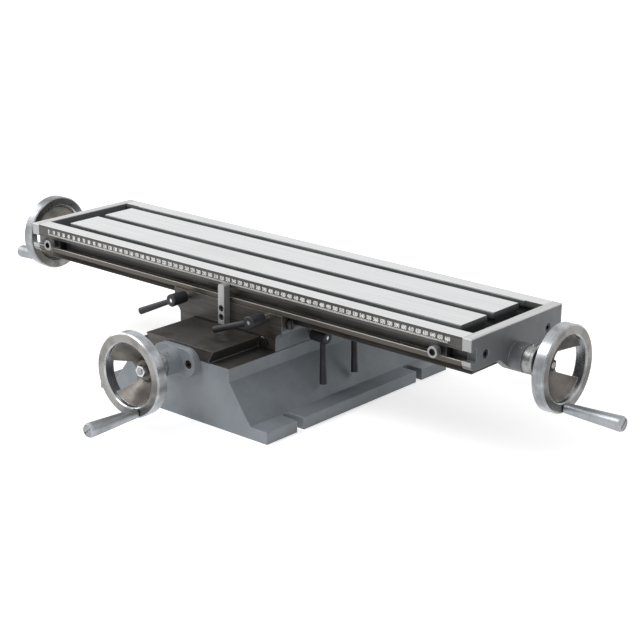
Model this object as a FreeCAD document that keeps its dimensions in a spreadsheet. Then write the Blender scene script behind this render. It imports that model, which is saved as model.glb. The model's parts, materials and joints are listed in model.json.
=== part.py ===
# Cross slide table: a base with a cross slide, a saddle and a long table with three T-slots.
# X runs along the table, Y runs away from the operator, Z points up, all in millimetres.
# The origin is the middle of the underside of the base.
import FreeCAD, Part
import math
import os

import Sketcher
from FreeCAD import Rotation, Vector

doc = FreeCAD.newDocument("cross_slide_table")
sheet = doc.addObject("Spreadsheet::Sheet", "sizes")


# A size knows its number and the sheet formula that gives it.
class Size:
    def __init__(self, value, text):
        self.value = float(value)
        self.text = text

    def __add__(self, other):
        other = as_size(other)
        return Size(self.value + other.value, f"({self.text} + {other.text})")

    def __sub__(self, other):
        other = as_size(other)
        return Size(self.value - other.value, f"({self.text} - {other.text})")

    def __mul__(self, other):
        other = as_size(other)
        return Size(self.value * other.value, f"({self.text} * {other.text})")

    def __truediv__(self, other):
        other = as_size(other)
        return Size(self.value / other.value, f"({self.text} / {other.text})")

    def __neg__(self):
        return Size(-self.value, f"(-1 * {self.text})")

    __radd__ = __add__

    def __rmul__(self, other):
        return self * other

    def __rsub__(self, other):
        return as_size(other) - self


def as_size(number):
    if isinstance(number, Size):
        return number
    return Size(number, f"({float(number)})")


def sine(angle):
    return Size(math.sin(math.radians(angle.value)), f"sin({angle.text} * 1 deg)")


def cosine(angle):
    return Size(math.cos(math.radians(angle.value)), f"cos({angle.text} * 1 deg)")


sheet_rows = []


# Write one driving size to the sheet and return it with its formula
def driving(alias, value):
    sheet_rows.append(alias)
    row = len(sheet_rows)
    sheet.set(f"A{row}", alias.replace("_", " "))
    sheet.set(f"B{row}", str(value))
    sheet.setAlias(f"B{row}", alias)
    return Size(value, f"sizes.{alias}")


# Fits and clearances
slide_gap = 0.05  # running gap between flat ways
flank_gap = 0.06  # running gap at a dovetail flank, level
bore_gap = 0.04  # radial running gap of a shaft in its bush
seat_gap = 0.02  # radial gap of a screw, stud or hub on its seat
thrust_gap = 0.1  # end float of a screw against its bracket
dove_relief = 1.0  # room over the crest of a dovetail
dove_angle = 60  # flank angle of both dovetails, degrees

# Base casting
base_width = 282  # base across both feet
base_depth = 348  # base front to back
foot_thick = 15  # thickness of the foot flange
slope_width = 230  # between the feet of the sloping sides
side_foot = 62  # height where the sloping side turns upright
way_height = 78  # height of the flat ways of the base
way_width = 161  # base across the flat ways
y_dove_width = 112  # base dovetail across its crest
y_dove_height = 15  # base dovetail, way to crest
root_relief = 1.5  # relief groove at the dovetail root
base_wall = 14  # front and back wall of the base
side_wall = 16  # side wall of the base, level
way_wall = 13  # metal under the flat ways
crest_wall = 10  # metal under the dovetail crest
neck_room = 64  # width of the hollow inside the dovetail
bolt_slot_width = 12  # open slots for the holding-down bolts
bolt_slot_depth = 26  # slot length from the edge of the foot
bolt_slot_pitch = 230  # between front and back slots

# Saddle
saddle_width = 180  # upper block of the saddle along X
saddle_leg_width = 160  # saddle across its legs
saddle_proud = 2  # saddle beyond the table, front and back
saddle_height = 47  # base ways to table ways
saddle_step = 23  # height of the wide upper block
saddle_fillet = 9  # hollow curve under the upper block
gib_thick = 6  # gib thickness, level
gib_margin = 0.4  # gib short of the ways above and below
y_travel = 175  # travel of the saddle

# Table
table_length = 700  # table plate between its end brackets
table_width = 180  # table front to back
table_thick = 33  # table plate, top to its ways
x_dove_width = 140  # table dovetail across its crest
x_dove_height = 15  # table dovetail, way to crest
slot_margin = 27  # edge of the table to the middle of its outer slot
slot_width = 12  # T-slot throat
slot_neck = 8  # T-slot throat depth
slot_head_width = 20  # T-slot lower width
slot_head_depth = 8  # T-slot lower height
slot_chamfer = 1  # chamfer at the slot mouth
trough_length = 26  # open trough at each end of the table
channel_width = 40  # channel under the table for the screw
channel_depth = 23  # channel depth from the dovetail crest
groove_height = 12  # mouth of the stop groove in the front
groove_neck = 4  # mouth depth of the stop groove
groove_head_height = 16  # inner height of the stop groove
groove_head_depth = 7  # inner depth of the stop groove
groove_drop = 21  # table top down to the stop groove middle
scale_height = 8  # graduated strip
scale_drop = 3.5  # table top down to the strip
scale_thick = 0.5  # thickness of the strip

# Brackets, bushes and screws
bracket_thick = 12  # end bracket of the table
bracket_height = 38  # end bracket, top to bottom edge
bracket_corner = 9  # lower corners of the end bracket
bracket_bolt_pitch = 124  # between the bolts of an end bracket
bracket_bolt_drop = 23  # table top down to these bolts
x_axis_drop = 41  # table top down to the long screw
x_boss_radius = 17  # boss of the end bracket
x_boss_length = 16.5  # boss length of the end bracket
bulge_half = 34  # half width of the bulge round the boss
y_axis_height = 73  # height of the cross screw
y_boss_radius = 16  # boss of the front bracket
y_boss_length = 23  # boss length of the front bracket
y_plate_width = 70  # plate of the front bracket
y_plate_height = 35  # plate height of the front bracket
y_plate_thick = 10  # plate thickness of the front bracket
y_bolt_pitch = 49  # between the bolts of the front bracket
screw_radius = 8  # radius over the screw threads
journal_radius = 6  # screw journal
stub_radius = 4  # threaded end of the screw
bush_radius = 9  # outside of a bearing bush

# Dials, handwheels and handles, measured outward from the face of the boss
dial_gap = 0.3  # dial clear of the boss
dial_radius = 17  # graduated face of the dial
dial_rim_radius = 17.6  # knurled rim of the dial
dial_face = 9.5  # width of the graduated face
dial_length = 14  # whole dial
hub_radius = 13  # handwheel hub
hub_length = 11  # handwheel hub length
rim_radius = 51  # outside of the handwheel
rim_section = 12.5  # radial thickness of the rim
rim_length = 15.5  # axial length of the rim
rim_front = 51.5  # boss face to the front of the rim
rim_round = 1.5  # rounded edges of the rim
web_thick = 6  # thickness of the dished spokes
spoke_hub_half = 12  # half width of a spoke at the hub
spoke_rim_half = 19  # half width of a spoke at the rim
nut_flats = 13  # wheel nut across its flats
nut_height = 6  # wheel nut height
handle_reach = 44.75  # handle axis from the wheel axis
handle_length = 74  # revolving grip
handle_root_radius = 6  # grip at the wheel
handle_tip_radius = 9  # grip at its free end
spindle_radius = 4  # spindle inside the grip
spindle_head_radius = 6.3  # slotted spindle head
spindle_head_length = 3  # slotted spindle head
grip_gap = 0.3  # grip clear of its spindle
right_turn = -2  # right handle from straight down, degrees
left_turn = -5  # left handle from straight down, degrees
front_turn = 17  # front handle from straight down, degrees

# Nuts of the two screws
x_nut_length = 36  # barrel of the long screw nut
x_nut_radius = 14  # barrel radius of the long screw nut
x_foot_length = 60  # foot of the long screw nut
x_foot_width = 36  # foot of the long screw nut
x_foot_thick = 8  # foot of the long screw nut
x_nut_bolt_x = 24  # foot screws from the middle, along X
x_nut_bolt_y = 13  # foot screws from the middle, along Y
y_nut_back = 40  # cross nut behind the saddle middle
y_nut_length = 44  # cross nut along the screw
y_nut_width = 30  # cross nut along X
y_nut_below = 15  # metal of the cross nut below its screw
y_nut_bolt_pitch = 22  # between the cross nut screws
slot_room = 2  # cross nut clear of its slot, each side
end_room = 4  # cross nut clear of the slot ends

# Screws and stops
bolt_radius = 3  # socket screws of brackets and nuts
bolt_head_radius = 5  # their heads
bolt_head_height = 6  # their heads
sink_gap = 0.5  # counterbore round a screw head
gib_screw_radius = 3  # gib adjusting screws
gib_screw_length = 16  # their threads
gib_screw_offset = 4  # their axis outside the gib
x_gib_head_radius = 7  # slotted heads of the table gib screws
y_gib_head_radius = 6  # slotted heads of the saddle gib screws
gib_head_height = 4  # slotted heads of the gib screws
x_gib_drop = 12  # table gib screws below the table ways
y_gib_rise = 9  # saddle gib screws above the base ways
block_width = 10  # stop block along X
block_depth = 10  # stop block proud of the saddle
block_top = 10  # table top down to the stop block
block_length = 50  # stop block height
block_chamfer = 1.5  # top edges of the stop block
block_bolt_pitch = 11  # between the stop block screws
block_bolt_rise = 9  # lower screw above the block's foot
block_bolt_radius = 2.5  # stop block screws
block_head_radius = 3.9  # heads of the stop block screws
dog_reach = 319  # stop dogs from the table middle
dog_head_radius = 6.5  # stop dog head
dog_head_length = 8  # stop dog head
dog_collar_radius = 5  # spacer behind the head
dog_collar_length = 4.4  # spacer behind the head
dog_nut_length = 22  # T-nut of a stop dog
dog_play = 0.15  # T-nut clear of the groove walls

# Ball oilers in the bosses
oiler_radius = 3  # cup of a ball oiler
oiler_depth = 5  # cup pressed into the boss
oiler_proud = 0.6  # cup above the boss
oiler_recess = 1.2  # rim of the cup down to its floor
oiler_rim = 1  # wall of the cup round its ball
oiler_ball_radius = 1.5  # ball, half sunk in the floor
oiler_inset = 5.5  # face of the boss to the oiler
oiler_turn = 30  # oiler round the boss from straight up, degrees

# Clamping levers
lever_hub_radius = 8  # hub of a clamping lever
lever_hub_length = 25  # hub of a clamping lever
lever_arm = 58  # lever axis to the end of its arm
lever_root_radius = 3.4  # arm at the hub
lever_tip_radius = 4.4  # arm at its end
lever_tilt = 10  # arm leaning outward, degrees
stud_radius = 4  # clamping stud
stud_core_radius = 2.6  # stud inside the outer hub
x_lever_pitch = 130  # between the front levers
x_lever_drop = 6  # front levers below the table ways
x_lever_stand = 7  # front lever hubs off the saddle
y_lever_pitch = 60  # between the side levers
y_lever_rise = 9  # side levers above the base ways
y_lever_stand = 5  # side lever hubs off the saddle
left_lever_angle = 205  # left front lever, degrees
right_lever_angle = 200  # right front lever, degrees
side_lever_angle = 260  # side levers, degrees

# Every size above goes to the sheet, and its name then stands for the cell
for alias, value in list(globals().items()):
    if isinstance(value, (int, float)):
        globals()[alias] = driving(alias, value)

# Levels and planes that follow from these
cot_angle = cosine(dove_angle) / sine(dove_angle)
half_base = base_depth / 2
crest_height = way_height + y_dove_height
y_root_half = y_dove_width / 2 - y_dove_height * cot_angle
table_way = way_height + saddle_height
table_top = table_way + table_thick
x_crest_height = table_way - x_dove_height
x_root_half = x_dove_width / 2 - x_dove_height * cot_angle
x_axis_height = table_top - x_axis_drop
groove_mid = table_top - groove_drop
half_table = table_length / 2
front_face = -table_width / 2
slot_pitch = table_width / 2 - slot_margin
saddle_front = front_face - saddle_proud
bracket_face = half_table + bracket_thick
x_boss_face = bracket_face + x_boss_length
y_boss_face = -half_base - y_plate_thick - y_boss_length
rim_in_radius = rim_radius - rim_section
hub_back = dial_gap + dial_length + dial_gap
hub_front = hub_back + hub_length
roof_height = crest_height + dove_relief

OUTWARD_TURN = {
    "x+": Rotation(Vector(0, 0, 1), 0),
    "x-": Rotation(Vector(0, 0, 1), 180),
    "y+": Rotation(Vector(0, 0, 1), 90),
    "y-": Rotation(Vector(0, 0, 1), -90),
}
UPRIGHT_TURN = {
    "x+": Rotation(Vector(0, 1, 0), 90),
    "x-": Rotation(Vector(0, 1, 0), -90),
    "y+": Rotation(Vector(1, 0, 0), -90),
    "y-": Rotation(Vector(1, 0, 0), 90),
    "z+": Rotation(),
    "z-": Rotation(Vector(1, 0, 0), 180),
}
STEP_ALONG = {
    "x+": (1, 0, 0),
    "x-": (-1, 0, 0),
    "y+": (0, 1, 0),
    "y-": (0, -1, 0),
    "z+": (0, 0, 1),
    "z-": (0, 0, -1),
}
nodes = []


# General helpers
def bind(thing, name, size):
    size = as_size(size)
    if "." not in name:
        setattr(thing, name, size.value)
    if "sizes." in size.text:
        thing.setExpression(name, size.text)
    return thing


def place(thing, spot, turn=None):
    x, y, z = [as_size(value) for value in spot]
    thing.Placement = FreeCAD.Placement(Vector(x.value, y.value, z.value), turn or Rotation())
    bind(thing, "Placement.Base.x", x)
    bind(thing, "Placement.Base.y", y)
    bind(thing, "Placement.Base.z", z)
    return thing


def moved(spot, direction, distance):
    return tuple(as_size(value) + distance * step if step else as_size(value)
                 for value, step in zip(spot, STEP_ALONG[direction]))


def node(thing, label):
    thing.Label = label
    nodes.append(thing)
    return thing


def mirrored(points):
    return points + [(-across, up) for across, up in reversed(points)]


# Sketches and features of a body
def new_sketch(body, plane, offset=None):
    sketch = body.newObject("Sketcher::SketchObject", body.Name + "_sketch")
    support = [f for f in body.Origin.OriginFeatures if f.Role == plane + "_Plane"][0]
    sketch.AttachmentSupport = [(support, "")]
    sketch.MapMode = "FlatFace"
    if offset is not None:
        offset = as_size(offset)
        sketch.AttachmentOffset = FreeCAD.Placement(Vector(0, 0, offset.value), Rotation())
        bind(sketch, "AttachmentOffset.Base.z", offset)
    return sketch


def pin_point(sketch, item, end, across, up):
    for kind, size in (("DistanceX", across), ("DistanceY", up)):
        size = as_size(size)
        index = sketch.addConstraint(Sketcher.Constraint(kind, -1, 1, item, end, size.value))
        name = f"{kind}_{item}_{end}"
        sketch.renameConstraint(index, name)
        bind(sketch, f"Constraints.{name}", size)


def draw_polygon(sketch, points):
    first = sketch.GeometryCount
    spots = [Vector(as_size(a).value, as_size(b).value, 0) for a, b in points]
    count = len(points)
    for index in range(count):
        sketch.addGeometry(Part.LineSegment(spots[index], spots[(index + 1) % count]), False)
    for index in range(count):
        following = first + (index + 1) % count
        sketch.addConstraint(Sketcher.Constraint("Coincident", first + index, 2, following, 1))
        pin_point(sketch, first + index, 1, *points[index])


def draw_circle(sketch, across, up, radius):
    spot = Vector(as_size(across).value, as_size(up).value, 0)
    item = sketch.addGeometry(Part.Circle(spot, Vector(0, 0, 1), as_size(radius).value), False)
    index = sketch.addConstraint(Sketcher.Constraint("Radius", item, as_size(radius).value))
    sketch.renameConstraint(index, f"radius_{item}")
    bind(sketch, f"Constraints.radius_{item}", radius)
    pin_point(sketch, item, 3, across, up)


def swept(body, plane, start, end, adding):
    start, end = as_size(start), as_size(end)
    sketch = new_sketch(body, plane, -end if plane == "XZ" else start)
    kind = "PartDesign::Pad" if adding else "PartDesign::Pocket"
    feature = body.newObject(kind, body.Name + "_step")
    feature.Profile = sketch
    feature.Reversed = not adding
    bind(feature, "Length", end - start)
    return sketch


def add_prism(body, plane, points, start, end):
    draw_polygon(swept(body, plane, start, end, True), points)


def cut_prism(body, plane, points, start, end):
    draw_polygon(swept(body, plane, start, end, False), points)


def add_rod(body, plane, across, up, radius, start, end):
    draw_circle(swept(body, plane, start, end, True), across, up, radius)


def cut_rod(body, plane, across, up, radius, start, end):
    draw_circle(swept(body, plane, start, end, False), across, up, radius)


def box_points(low_across, high_across, low_up, high_up):
    return [(low_across, low_up), (high_across, low_up), (high_across, high_up), (low_across, high_up)]


def new_body(name):
    return doc.addObject("PartDesign::Body", name)


# A lathe profile of (along, radius) points, turned about the body's own X axis.
def turned(body, points):
    sketch = new_sketch(body, "XZ")
    draw_polygon(sketch, points)
    feature = body.newObject("PartDesign::Revolution", body.Name + "_turned")
    feature.Profile = sketch
    feature.ReferenceAxis = (sketch, ["H_Axis"])
    feature.Angle = 360
    return body


def edges_at(shape, along, **spots):
    names = []
    for index, edge in enumerate(shape.Edges):
        ends = [vertex.Point for vertex in edge.Vertexes]
        if len(ends) != 2 or edge.Curve.TypeId != "Part::GeomLine":
            continue
        run = ends[1] - ends[0]
        if abs(getattr(run, along)) < run.Length - 0.001:
            continue
        if all(abs(getattr(ends[0], axis) - as_size(spot).value) < 0.01 for axis, spot in spots.items()):
            names.append(f"Edge{index + 1}")
    return names


def soften(body, kind, size, wanted):
    doc.recompute()
    tip = body.Tip
    names = []
    for along, spots in wanted:
        names += edges_at(tip.Shape, along, **spots)
    feature = body.newObject(f"PartDesign::{kind}", body.Name + "_edges")
    feature.Base = (tip, names)
    bind(feature, "Radius" if kind == "Fillet" else "Size", size)
    body.Tip = feature


# Primitives and booleans
def rod(spot, direction, radius, length):
    thing = doc.addObject("Part::Cylinder", "rod")
    bind(thing, "Radius", radius)
    bind(thing, "Height", length)
    return place(thing, spot, UPRIGHT_TURN[direction])


def hexagon(spot, direction, flats, length):
    thing = doc.addObject("Part::Prism", "hexagon")
    thing.Polygon = 6
    bind(thing, "Circumradius", as_size(flats) / math.sqrt(3))
    bind(thing, "Height", length)
    return place(thing, spot, UPRIGHT_TURN[direction])


def block(low, high):
    thing = doc.addObject("Part::Box", "block")
    for name, start, end in zip(("Length", "Width", "Height"), low, high):
        bind(thing, name, as_size(end) - start)
    return place(thing, low)


def united(parts):
    thing = doc.addObject("Part::MultiFuse", "united")
    thing.Shapes = parts
    return thing


def less(base, tools):
    thing = doc.addObject("Part::Cut", "less")
    thing.Base = base
    thing.Tool = tools[0] if len(tools) == 1 else united(tools)
    return thing


def grouped(parts):
    thing = doc.addObject("Part::Compound", "grouped")
    thing.Links = parts
    return thing


# A socket head screw: spot is the seat under its head, direction runs from seat to head.
def socket_screw(spot, direction, radius, length, head_radius, head_height):
    inward = opposite(direction)
    shank = rod(spot, inward, radius, length)
    head = rod(spot, direction, head_radius, head_height)
    socket_depth = as_size(head_height) / 2
    socket = hexagon(moved(spot, direction, as_size(head_height) - socket_depth), direction,
                     as_size(head_radius) * 1.05, socket_depth + 1)
    return less(united([shank, head]), [socket])


# A slotted cheese head screw with the same spot and direction; its slot runs along Z.
def slotted_screw(spot, direction, radius, length, head_radius, head_height):
    inward = opposite(direction)
    shank = rod(spot, inward, radius, length)
    head = rod(spot, direction, head_radius, head_height)
    slot_half = as_size(head_radius) * 0.12
    floor = moved(spot, direction, as_size(head_height) * 0.6)
    outside = moved(spot, direction, as_size(head_height) + 1)
    low, high = [], []
    for step, near, far in zip(STEP_ALONG[direction], floor, outside):
        if step:
            low.append(near if step > 0 else far)
            high.append(far if step > 0 else near)
        elif step == 0 and len(low) == 2:
            low.append(near - head_radius - 1)
            high.append(near + head_radius + 1)
        else:
            low.append(near - slot_half)
            high.append(near + slot_half)
    return less(united([shank, head]), [block(low, high)])


def opposite(direction):
    return direction[0] + ("-" if direction[1] == "+" else "+")


# A ball oiler and its hole, in a boss that runs along lean_axis
def ball_oiler(centre, boss_radius, lean_axis):
    turn = Rotation(Vector(*lean_axis), oiler_turn.value)

    def spot(start):
        aside = start * sine(oiler_turn)
        return (centre[0] + aside * lean_axis[1], centre[1] - aside * lean_axis[0],
                centre[2] + start * cosine(oiler_turn))

    def leaning_rod(start, radius, length):
        return place(rod(spot(start), "z+", radius, length), spot(start), turn)

    foot = boss_radius - oiler_depth
    floor = boss_radius + oiler_proud - oiler_recess
    cup = less(leaning_rod(foot, oiler_radius, oiler_depth + oiler_proud),
               [leaning_rod(floor, oiler_radius - oiler_rim, oiler_recess + 1)])
    ball = doc.addObject("Part::Sphere", "ball")
    bind(ball, "Radius", oiler_ball_radius)
    place(ball, spot(floor - oiler_ball_radius * 0.25))
    hole = leaning_rod(foot, oiler_radius + seat_gap, oiler_depth * 2)
    return united([cup, ball]), hole


# Base casting with its dovetail, hollow underneath
def make_base():
    body = new_body("base")
    foot_half = base_width / 2
    slope_half = slope_width / 2
    way_half = way_width / 2
    relief_outer = y_root_half + root_relief * 2
    relief_floor = way_height - root_relief
    add_prism(body, "XZ", mirrored([
        (foot_half, 0),
        (foot_half, foot_thick),
        (slope_half, foot_thick),
        (way_half, side_foot),
        (way_half, way_height),
        (relief_outer, way_height),
        (relief_outer, relief_floor),
        (y_root_half, relief_floor),
        (y_root_half, way_height),
        (y_dove_width / 2, crest_height),
    ]), -half_base, half_base)
    hollow_half = half_base - base_wall
    cut_prism(body, "XZ", mirrored([
        (slope_half - side_wall, 0),
        (slope_half - side_wall, foot_thick),
        (way_half - side_wall, side_foot),
        (way_half - side_wall, way_height - way_wall),
        (neck_room / 2, way_height - way_wall),
        (neck_room / 2, crest_height - crest_wall),
    ]), -hollow_half, hollow_half)
    nut_half = y_nut_width / 2 + slot_room
    nut_run = (y_nut_length + y_travel) / 2 + end_room
    cut_prism(body, "XY", box_points(-nut_half, nut_half, y_nut_back - nut_run, y_nut_back + nut_run),
              crest_height - crest_wall - 1, crest_height + 1)
    cut_rod(body, "XZ", 0, y_axis_height, screw_radius + 2, -half_base - 1, -hollow_half + 1)
    for side in (-1, 1):
        cut_rod(body, "XZ", y_bolt_pitch / 2 * side, y_axis_height, bolt_radius + seat_gap,
                -half_base - 1, -hollow_half + 1)
    slot_half = bolt_slot_width / 2
    inner = foot_half - bolt_slot_depth + slot_half
    for side in (-1, 1):
        for row in (-1, 1):
            middle = bolt_slot_pitch / 2 * row
            ends = (inner, foot_half + 1) if side > 0 else (-foot_half - 1, -inner)
            cut_prism(body, "XY", box_points(ends[0], ends[1], middle - slot_half, middle + slot_half),
                      -1, foot_thick + 1)
            cut_rod(body, "XY", inner * side, middle, slot_half, -1, foot_thick + 1)
    node(body, "base_casting")


# Front bracket that carries the cross screw
def make_front_bracket():
    body = new_body("front_bracket")
    plate_front = -half_base - y_plate_thick
    end_radius = y_plate_height / 2
    flat_half = y_plate_width / 2 - end_radius
    add_prism(body, "XZ", box_points(-flat_half, flat_half, y_axis_height - end_radius,
                                     y_axis_height + end_radius), plate_front, -half_base)
    for side in (-1, 1):
        add_rod(body, "XZ", flat_half * side, y_axis_height, end_radius, plate_front, -half_base)
    add_rod(body, "XZ", 0, y_axis_height, y_boss_radius, y_boss_face, plate_front)
    cut_rod(body, "XZ", 0, y_axis_height, bush_radius, y_boss_face - 1, -half_base + 1)
    head_room = bolt_head_radius + sink_gap
    for side in (-1, 1):
        across = y_bolt_pitch / 2 * side
        cut_rod(body, "XZ", across, y_axis_height, bolt_radius + seat_gap, plate_front - 1, -half_base + 1)
        cut_rod(body, "XZ", across, y_axis_height, head_room, plate_front - 1, plate_front + bolt_head_height)
    oiler, hole = ball_oiler((0, y_boss_face + oiler_inset, y_axis_height), y_boss_radius, (0, 1, 0))
    node(less(body, [hole]), "y_screw_bracket")
    node(oiler, "y_bracket_oiler")

    seat = -half_base - y_plate_thick + bolt_head_height
    node(grouped([socket_screw((y_bolt_pitch / 2 * side, seat, y_axis_height), "y-", bolt_radius,
                               base_wall + y_plate_thick - bolt_head_height - 1,
                               bolt_head_radius, bolt_head_height - sink_gap)
                  for side in (-1, 1)]), "y_bracket_bolts")


def make_bush(label, face, direction, length):
    body = turned(new_body(label), [
        (-length, journal_radius + bore_gap),
        (0, journal_radius + bore_gap),
        (0, bush_radius - seat_gap),
        (-length, bush_radius - seat_gap),
    ])
    place(body, face, OUTWARD_TURN[direction])
    node(body, label)


# Saddle casting with a dovetail way below and one above, crossing at right angles
def make_saddle():
    body = new_body("saddle")
    leg_half = saddle_leg_width / 2
    block_half = saddle_width / 2
    top = table_way - slide_gap
    add_prism(body, "XZ", mirrored([
        (leg_half, way_height + slide_gap),
        (leg_half, table_way - saddle_step),
        (block_half, table_way - saddle_step),
        (block_half, top),
    ]), saddle_front, -saddle_front)
    soften(body, "Fillet", saddle_fillet, [
        ("y", {"x": leg_half, "z": table_way - saddle_step}),
        ("y", {"x": -leg_half, "z": table_way - saddle_step}),
    ])
    y_rise = y_dove_height + dove_relief
    plain = y_root_half + flank_gap
    gibbed = plain + gib_thick + flank_gap
    cut_prism(body, "XZ", [
        (gibbed, way_height),
        (gibbed + y_rise * cot_angle, roof_height),
        (-(plain + y_rise * cot_angle), roof_height),
        (-plain, way_height),
    ], saddle_front - 1, -saddle_front + 1)
    x_fall = x_dove_height + dove_relief
    x_floor = table_way - x_fall
    x_plain = x_root_half + flank_gap
    x_gibbed = x_plain + gib_thick + flank_gap
    cut_prism(body, "YZ", [
        (x_plain, table_way),
        (x_plain + x_fall * cot_angle, x_floor),
        (-(x_gibbed + x_fall * cot_angle), x_floor),
        (-x_gibbed, table_way),
    ], -block_half - 1, block_half + 1)
    trough_half = screw_radius + 3
    cut_prism(body, "YZ", box_points(-trough_half, trough_half, x_axis_height - screw_radius - 3, x_floor + 1),
              -block_half - 1, block_half + 1)
    foot_half = x_foot_length / 2 + seat_gap
    foot_deep = x_foot_width / 2 + seat_gap
    seat = x_nut_seat()
    cut_prism(body, "XY", box_points(-foot_half, foot_half, -foot_deep, foot_deep), seat, x_floor + 1)
    for side in (-1, 1):
        for row in (-1, 1):
            cut_rod(body, "XY", x_nut_bolt_x * side, x_nut_bolt_y * row, bolt_radius + seat_gap,
                    roof_height - 1, seat + 1)
    for row in (-1, 1):
        along = y_nut_back + y_nut_bolt_pitch / 2 * row
        cut_rod(body, "XY", 0, along, bolt_radius + seat_gap, roof_height - 1, x_floor + 1)
        cut_rod(body, "XY", 0, along, bolt_head_radius + sink_gap, x_floor - bolt_head_height, x_floor + 1)
    wall_end = -(x_root_half + gib_thick)
    for side in (-1, 1):
        cut_rod(body, "XZ", x_lever_pitch / 2 * side, table_way - x_lever_drop, stud_radius + bore_gap,
                saddle_front - 1, wall_end)
        cut_rod(body, "YZ", y_lever_pitch / 2 * side, way_height + y_lever_rise, stud_radius + bore_gap,
                gibbed, leg_half + 1)
    foot = table_top - block_top - block_length
    for row in (0, 1):
        cut_rod(body, "XZ", 0, foot + block_bolt_rise + block_bolt_pitch * row,
                block_bolt_radius + seat_gap, saddle_front - 1, saddle_front + block_screw_bite())
    for direction, spot, _ in gib_screw_spots("x"):
        inside = moved(spot, opposite(direction), gib_screw_length + 1)
        outside = moved(spot, direction, 1)
        start, end = (inside[0], outside[0]) if direction == "x+" else (outside[0], inside[0])
        cut_rod(body, "YZ", spot[1], spot[2], gib_screw_radius + seat_gap, start, end)
    for direction, spot, _ in gib_screw_spots("y"):
        inside = moved(spot, opposite(direction), gib_screw_length + 1)
        outside = moved(spot, direction, 1)
        start, end = (inside[1], outside[1]) if direction == "y+" else (outside[1], inside[1])
        cut_rod(body, "XZ", spot[0], spot[2], gib_screw_radius + seat_gap, start, end)
    node(body, "saddle_casting")


def x_nut_seat():
    return x_crest_height - dove_relief - x_foot_thick


def block_screw_bite():
    return block_depth * 1.4


# Where the two screws of a gib seat: direction, spot under the head and head radius
def gib_screw_spots(gib):
    if gib == "x":
        drop = x_gib_drop
        wall = x_root_half + flank_gap * 2 + gib_thick + drop * cot_angle
        across = -(wall + gib_screw_offset)
        level = table_way - drop
        return [("x+", (saddle_width / 2, across, level), x_gib_head_radius),
                ("x-", (-saddle_width / 2, across, level), x_gib_head_radius)]
    rise = y_gib_rise
    wall = y_root_half + flank_gap * 2 + gib_thick + rise * cot_angle
    across = wall + gib_screw_offset
    level = way_height + rise
    return [("y-", (across, saddle_front, level), y_gib_head_radius),
            ("y+", (across, -saddle_front, level), y_gib_head_radius)]


def make_gibs():
    body = new_body("y_gib_strip")
    low = gib_margin
    high = y_dove_height - gib_margin
    inner = y_root_half + flank_gap
    add_prism(body, "XZ", [
        (inner + low * cot_angle, way_height + low),
        (inner + low * cot_angle + gib_thick, way_height + low),
        (inner + high * cot_angle + gib_thick, way_height + high),
        (inner + high * cot_angle, way_height + high),
    ], saddle_front, -saddle_front)
    node(body, "y_gib")

    body = new_body("x_gib_strip")
    high = x_dove_height - gib_margin
    inner = x_root_half + flank_gap
    add_prism(body, "YZ", [
        (-(inner + low * cot_angle), table_way - low),
        (-(inner + low * cot_angle + gib_thick), table_way - low),
        (-(inner + high * cot_angle + gib_thick), table_way - high),
        (-(inner + high * cot_angle), table_way - high),
    ], -saddle_width / 2, saddle_width / 2)
    node(body, "x_gib")

    for gib in ("x", "y"):
        node(grouped([slotted_screw(spot, direction, gib_screw_radius, gib_screw_length, head, gib_head_height)
                      for direction, spot, head in gib_screw_spots(gib)]), f"{gib}_gib_screws")


# Nut of the long screw, seated in the saddle and standing up inside the table's channel
def make_x_nut():
    body = new_body("x_nut_block")
    seat = x_nut_seat()
    foot_top = seat + x_foot_thick
    foot_half = x_foot_width / 2
    add_prism(body, "XY", box_points(-x_foot_length / 2, x_foot_length / 2, -foot_half, foot_half), seat, foot_top)
    barrel = x_nut_length / 2
    add_prism(body, "YZ", box_points(-x_nut_radius * 0.6, x_nut_radius * 0.6, foot_top - 1, x_axis_height),
              -barrel, barrel)
    add_rod(body, "YZ", 0, x_axis_height, x_nut_radius, -barrel, barrel)
    cut_rod(body, "YZ", 0, x_axis_height, screw_radius + bore_gap, -x_foot_length / 2 - 1, x_foot_length / 2 + 1)
    for side in (-1, 1):
        for row in (-1, 1):
            cut_rod(body, "XY", x_nut_bolt_x * side, x_nut_bolt_y * row, bolt_radius + seat_gap,
                    seat - 1, foot_top + 1)
    node(body, "x_nut")

    bite = as_size(x_foot_thick) + (seat - roof_height) - 0.5
    node(grouped([socket_screw((x_nut_bolt_x * side, x_nut_bolt_y * row, foot_top), "z+", bolt_radius, bite,
                               bolt_head_radius - 0.5, bolt_head_height - 1)
                  for side in (-1, 1) for row in (-1, 1)]), "x_nut_screws")


# Nut of the cross screw, hanging from the saddle through the slot in the base
def make_y_nut():
    body = new_body("y_nut_block")
    low = y_axis_height - y_nut_below
    half_long = y_nut_length / 2
    add_prism(body, "XY", box_points(-y_nut_width / 2, y_nut_width / 2, y_nut_back - half_long,
                                     y_nut_back + half_long), low, roof_height)
    cut_rod(body, "XZ", 0, y_axis_height, screw_radius + bore_gap, y_nut_back - half_long - 1,
            y_nut_back + half_long + 1)
    for row in (-1, 1):
        cut_rod(body, "XY", 0, y_nut_back + y_nut_bolt_pitch / 2 * row, bolt_radius + seat_gap,
                y_axis_height + screw_radius + 1, roof_height + 1)
    node(body, "y_nut")

    seat = x_crest_height - dove_relief - bolt_head_height
    bite = seat - (y_axis_height + screw_radius + 2)
    node(grouped([socket_screw((0, y_nut_back + y_nut_bolt_pitch / 2 * row, seat), "z+", bolt_radius, bite,
                               bolt_head_radius, bolt_head_height - sink_gap)
                  for row in (-1, 1)]), "y_nut_screws")


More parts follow.
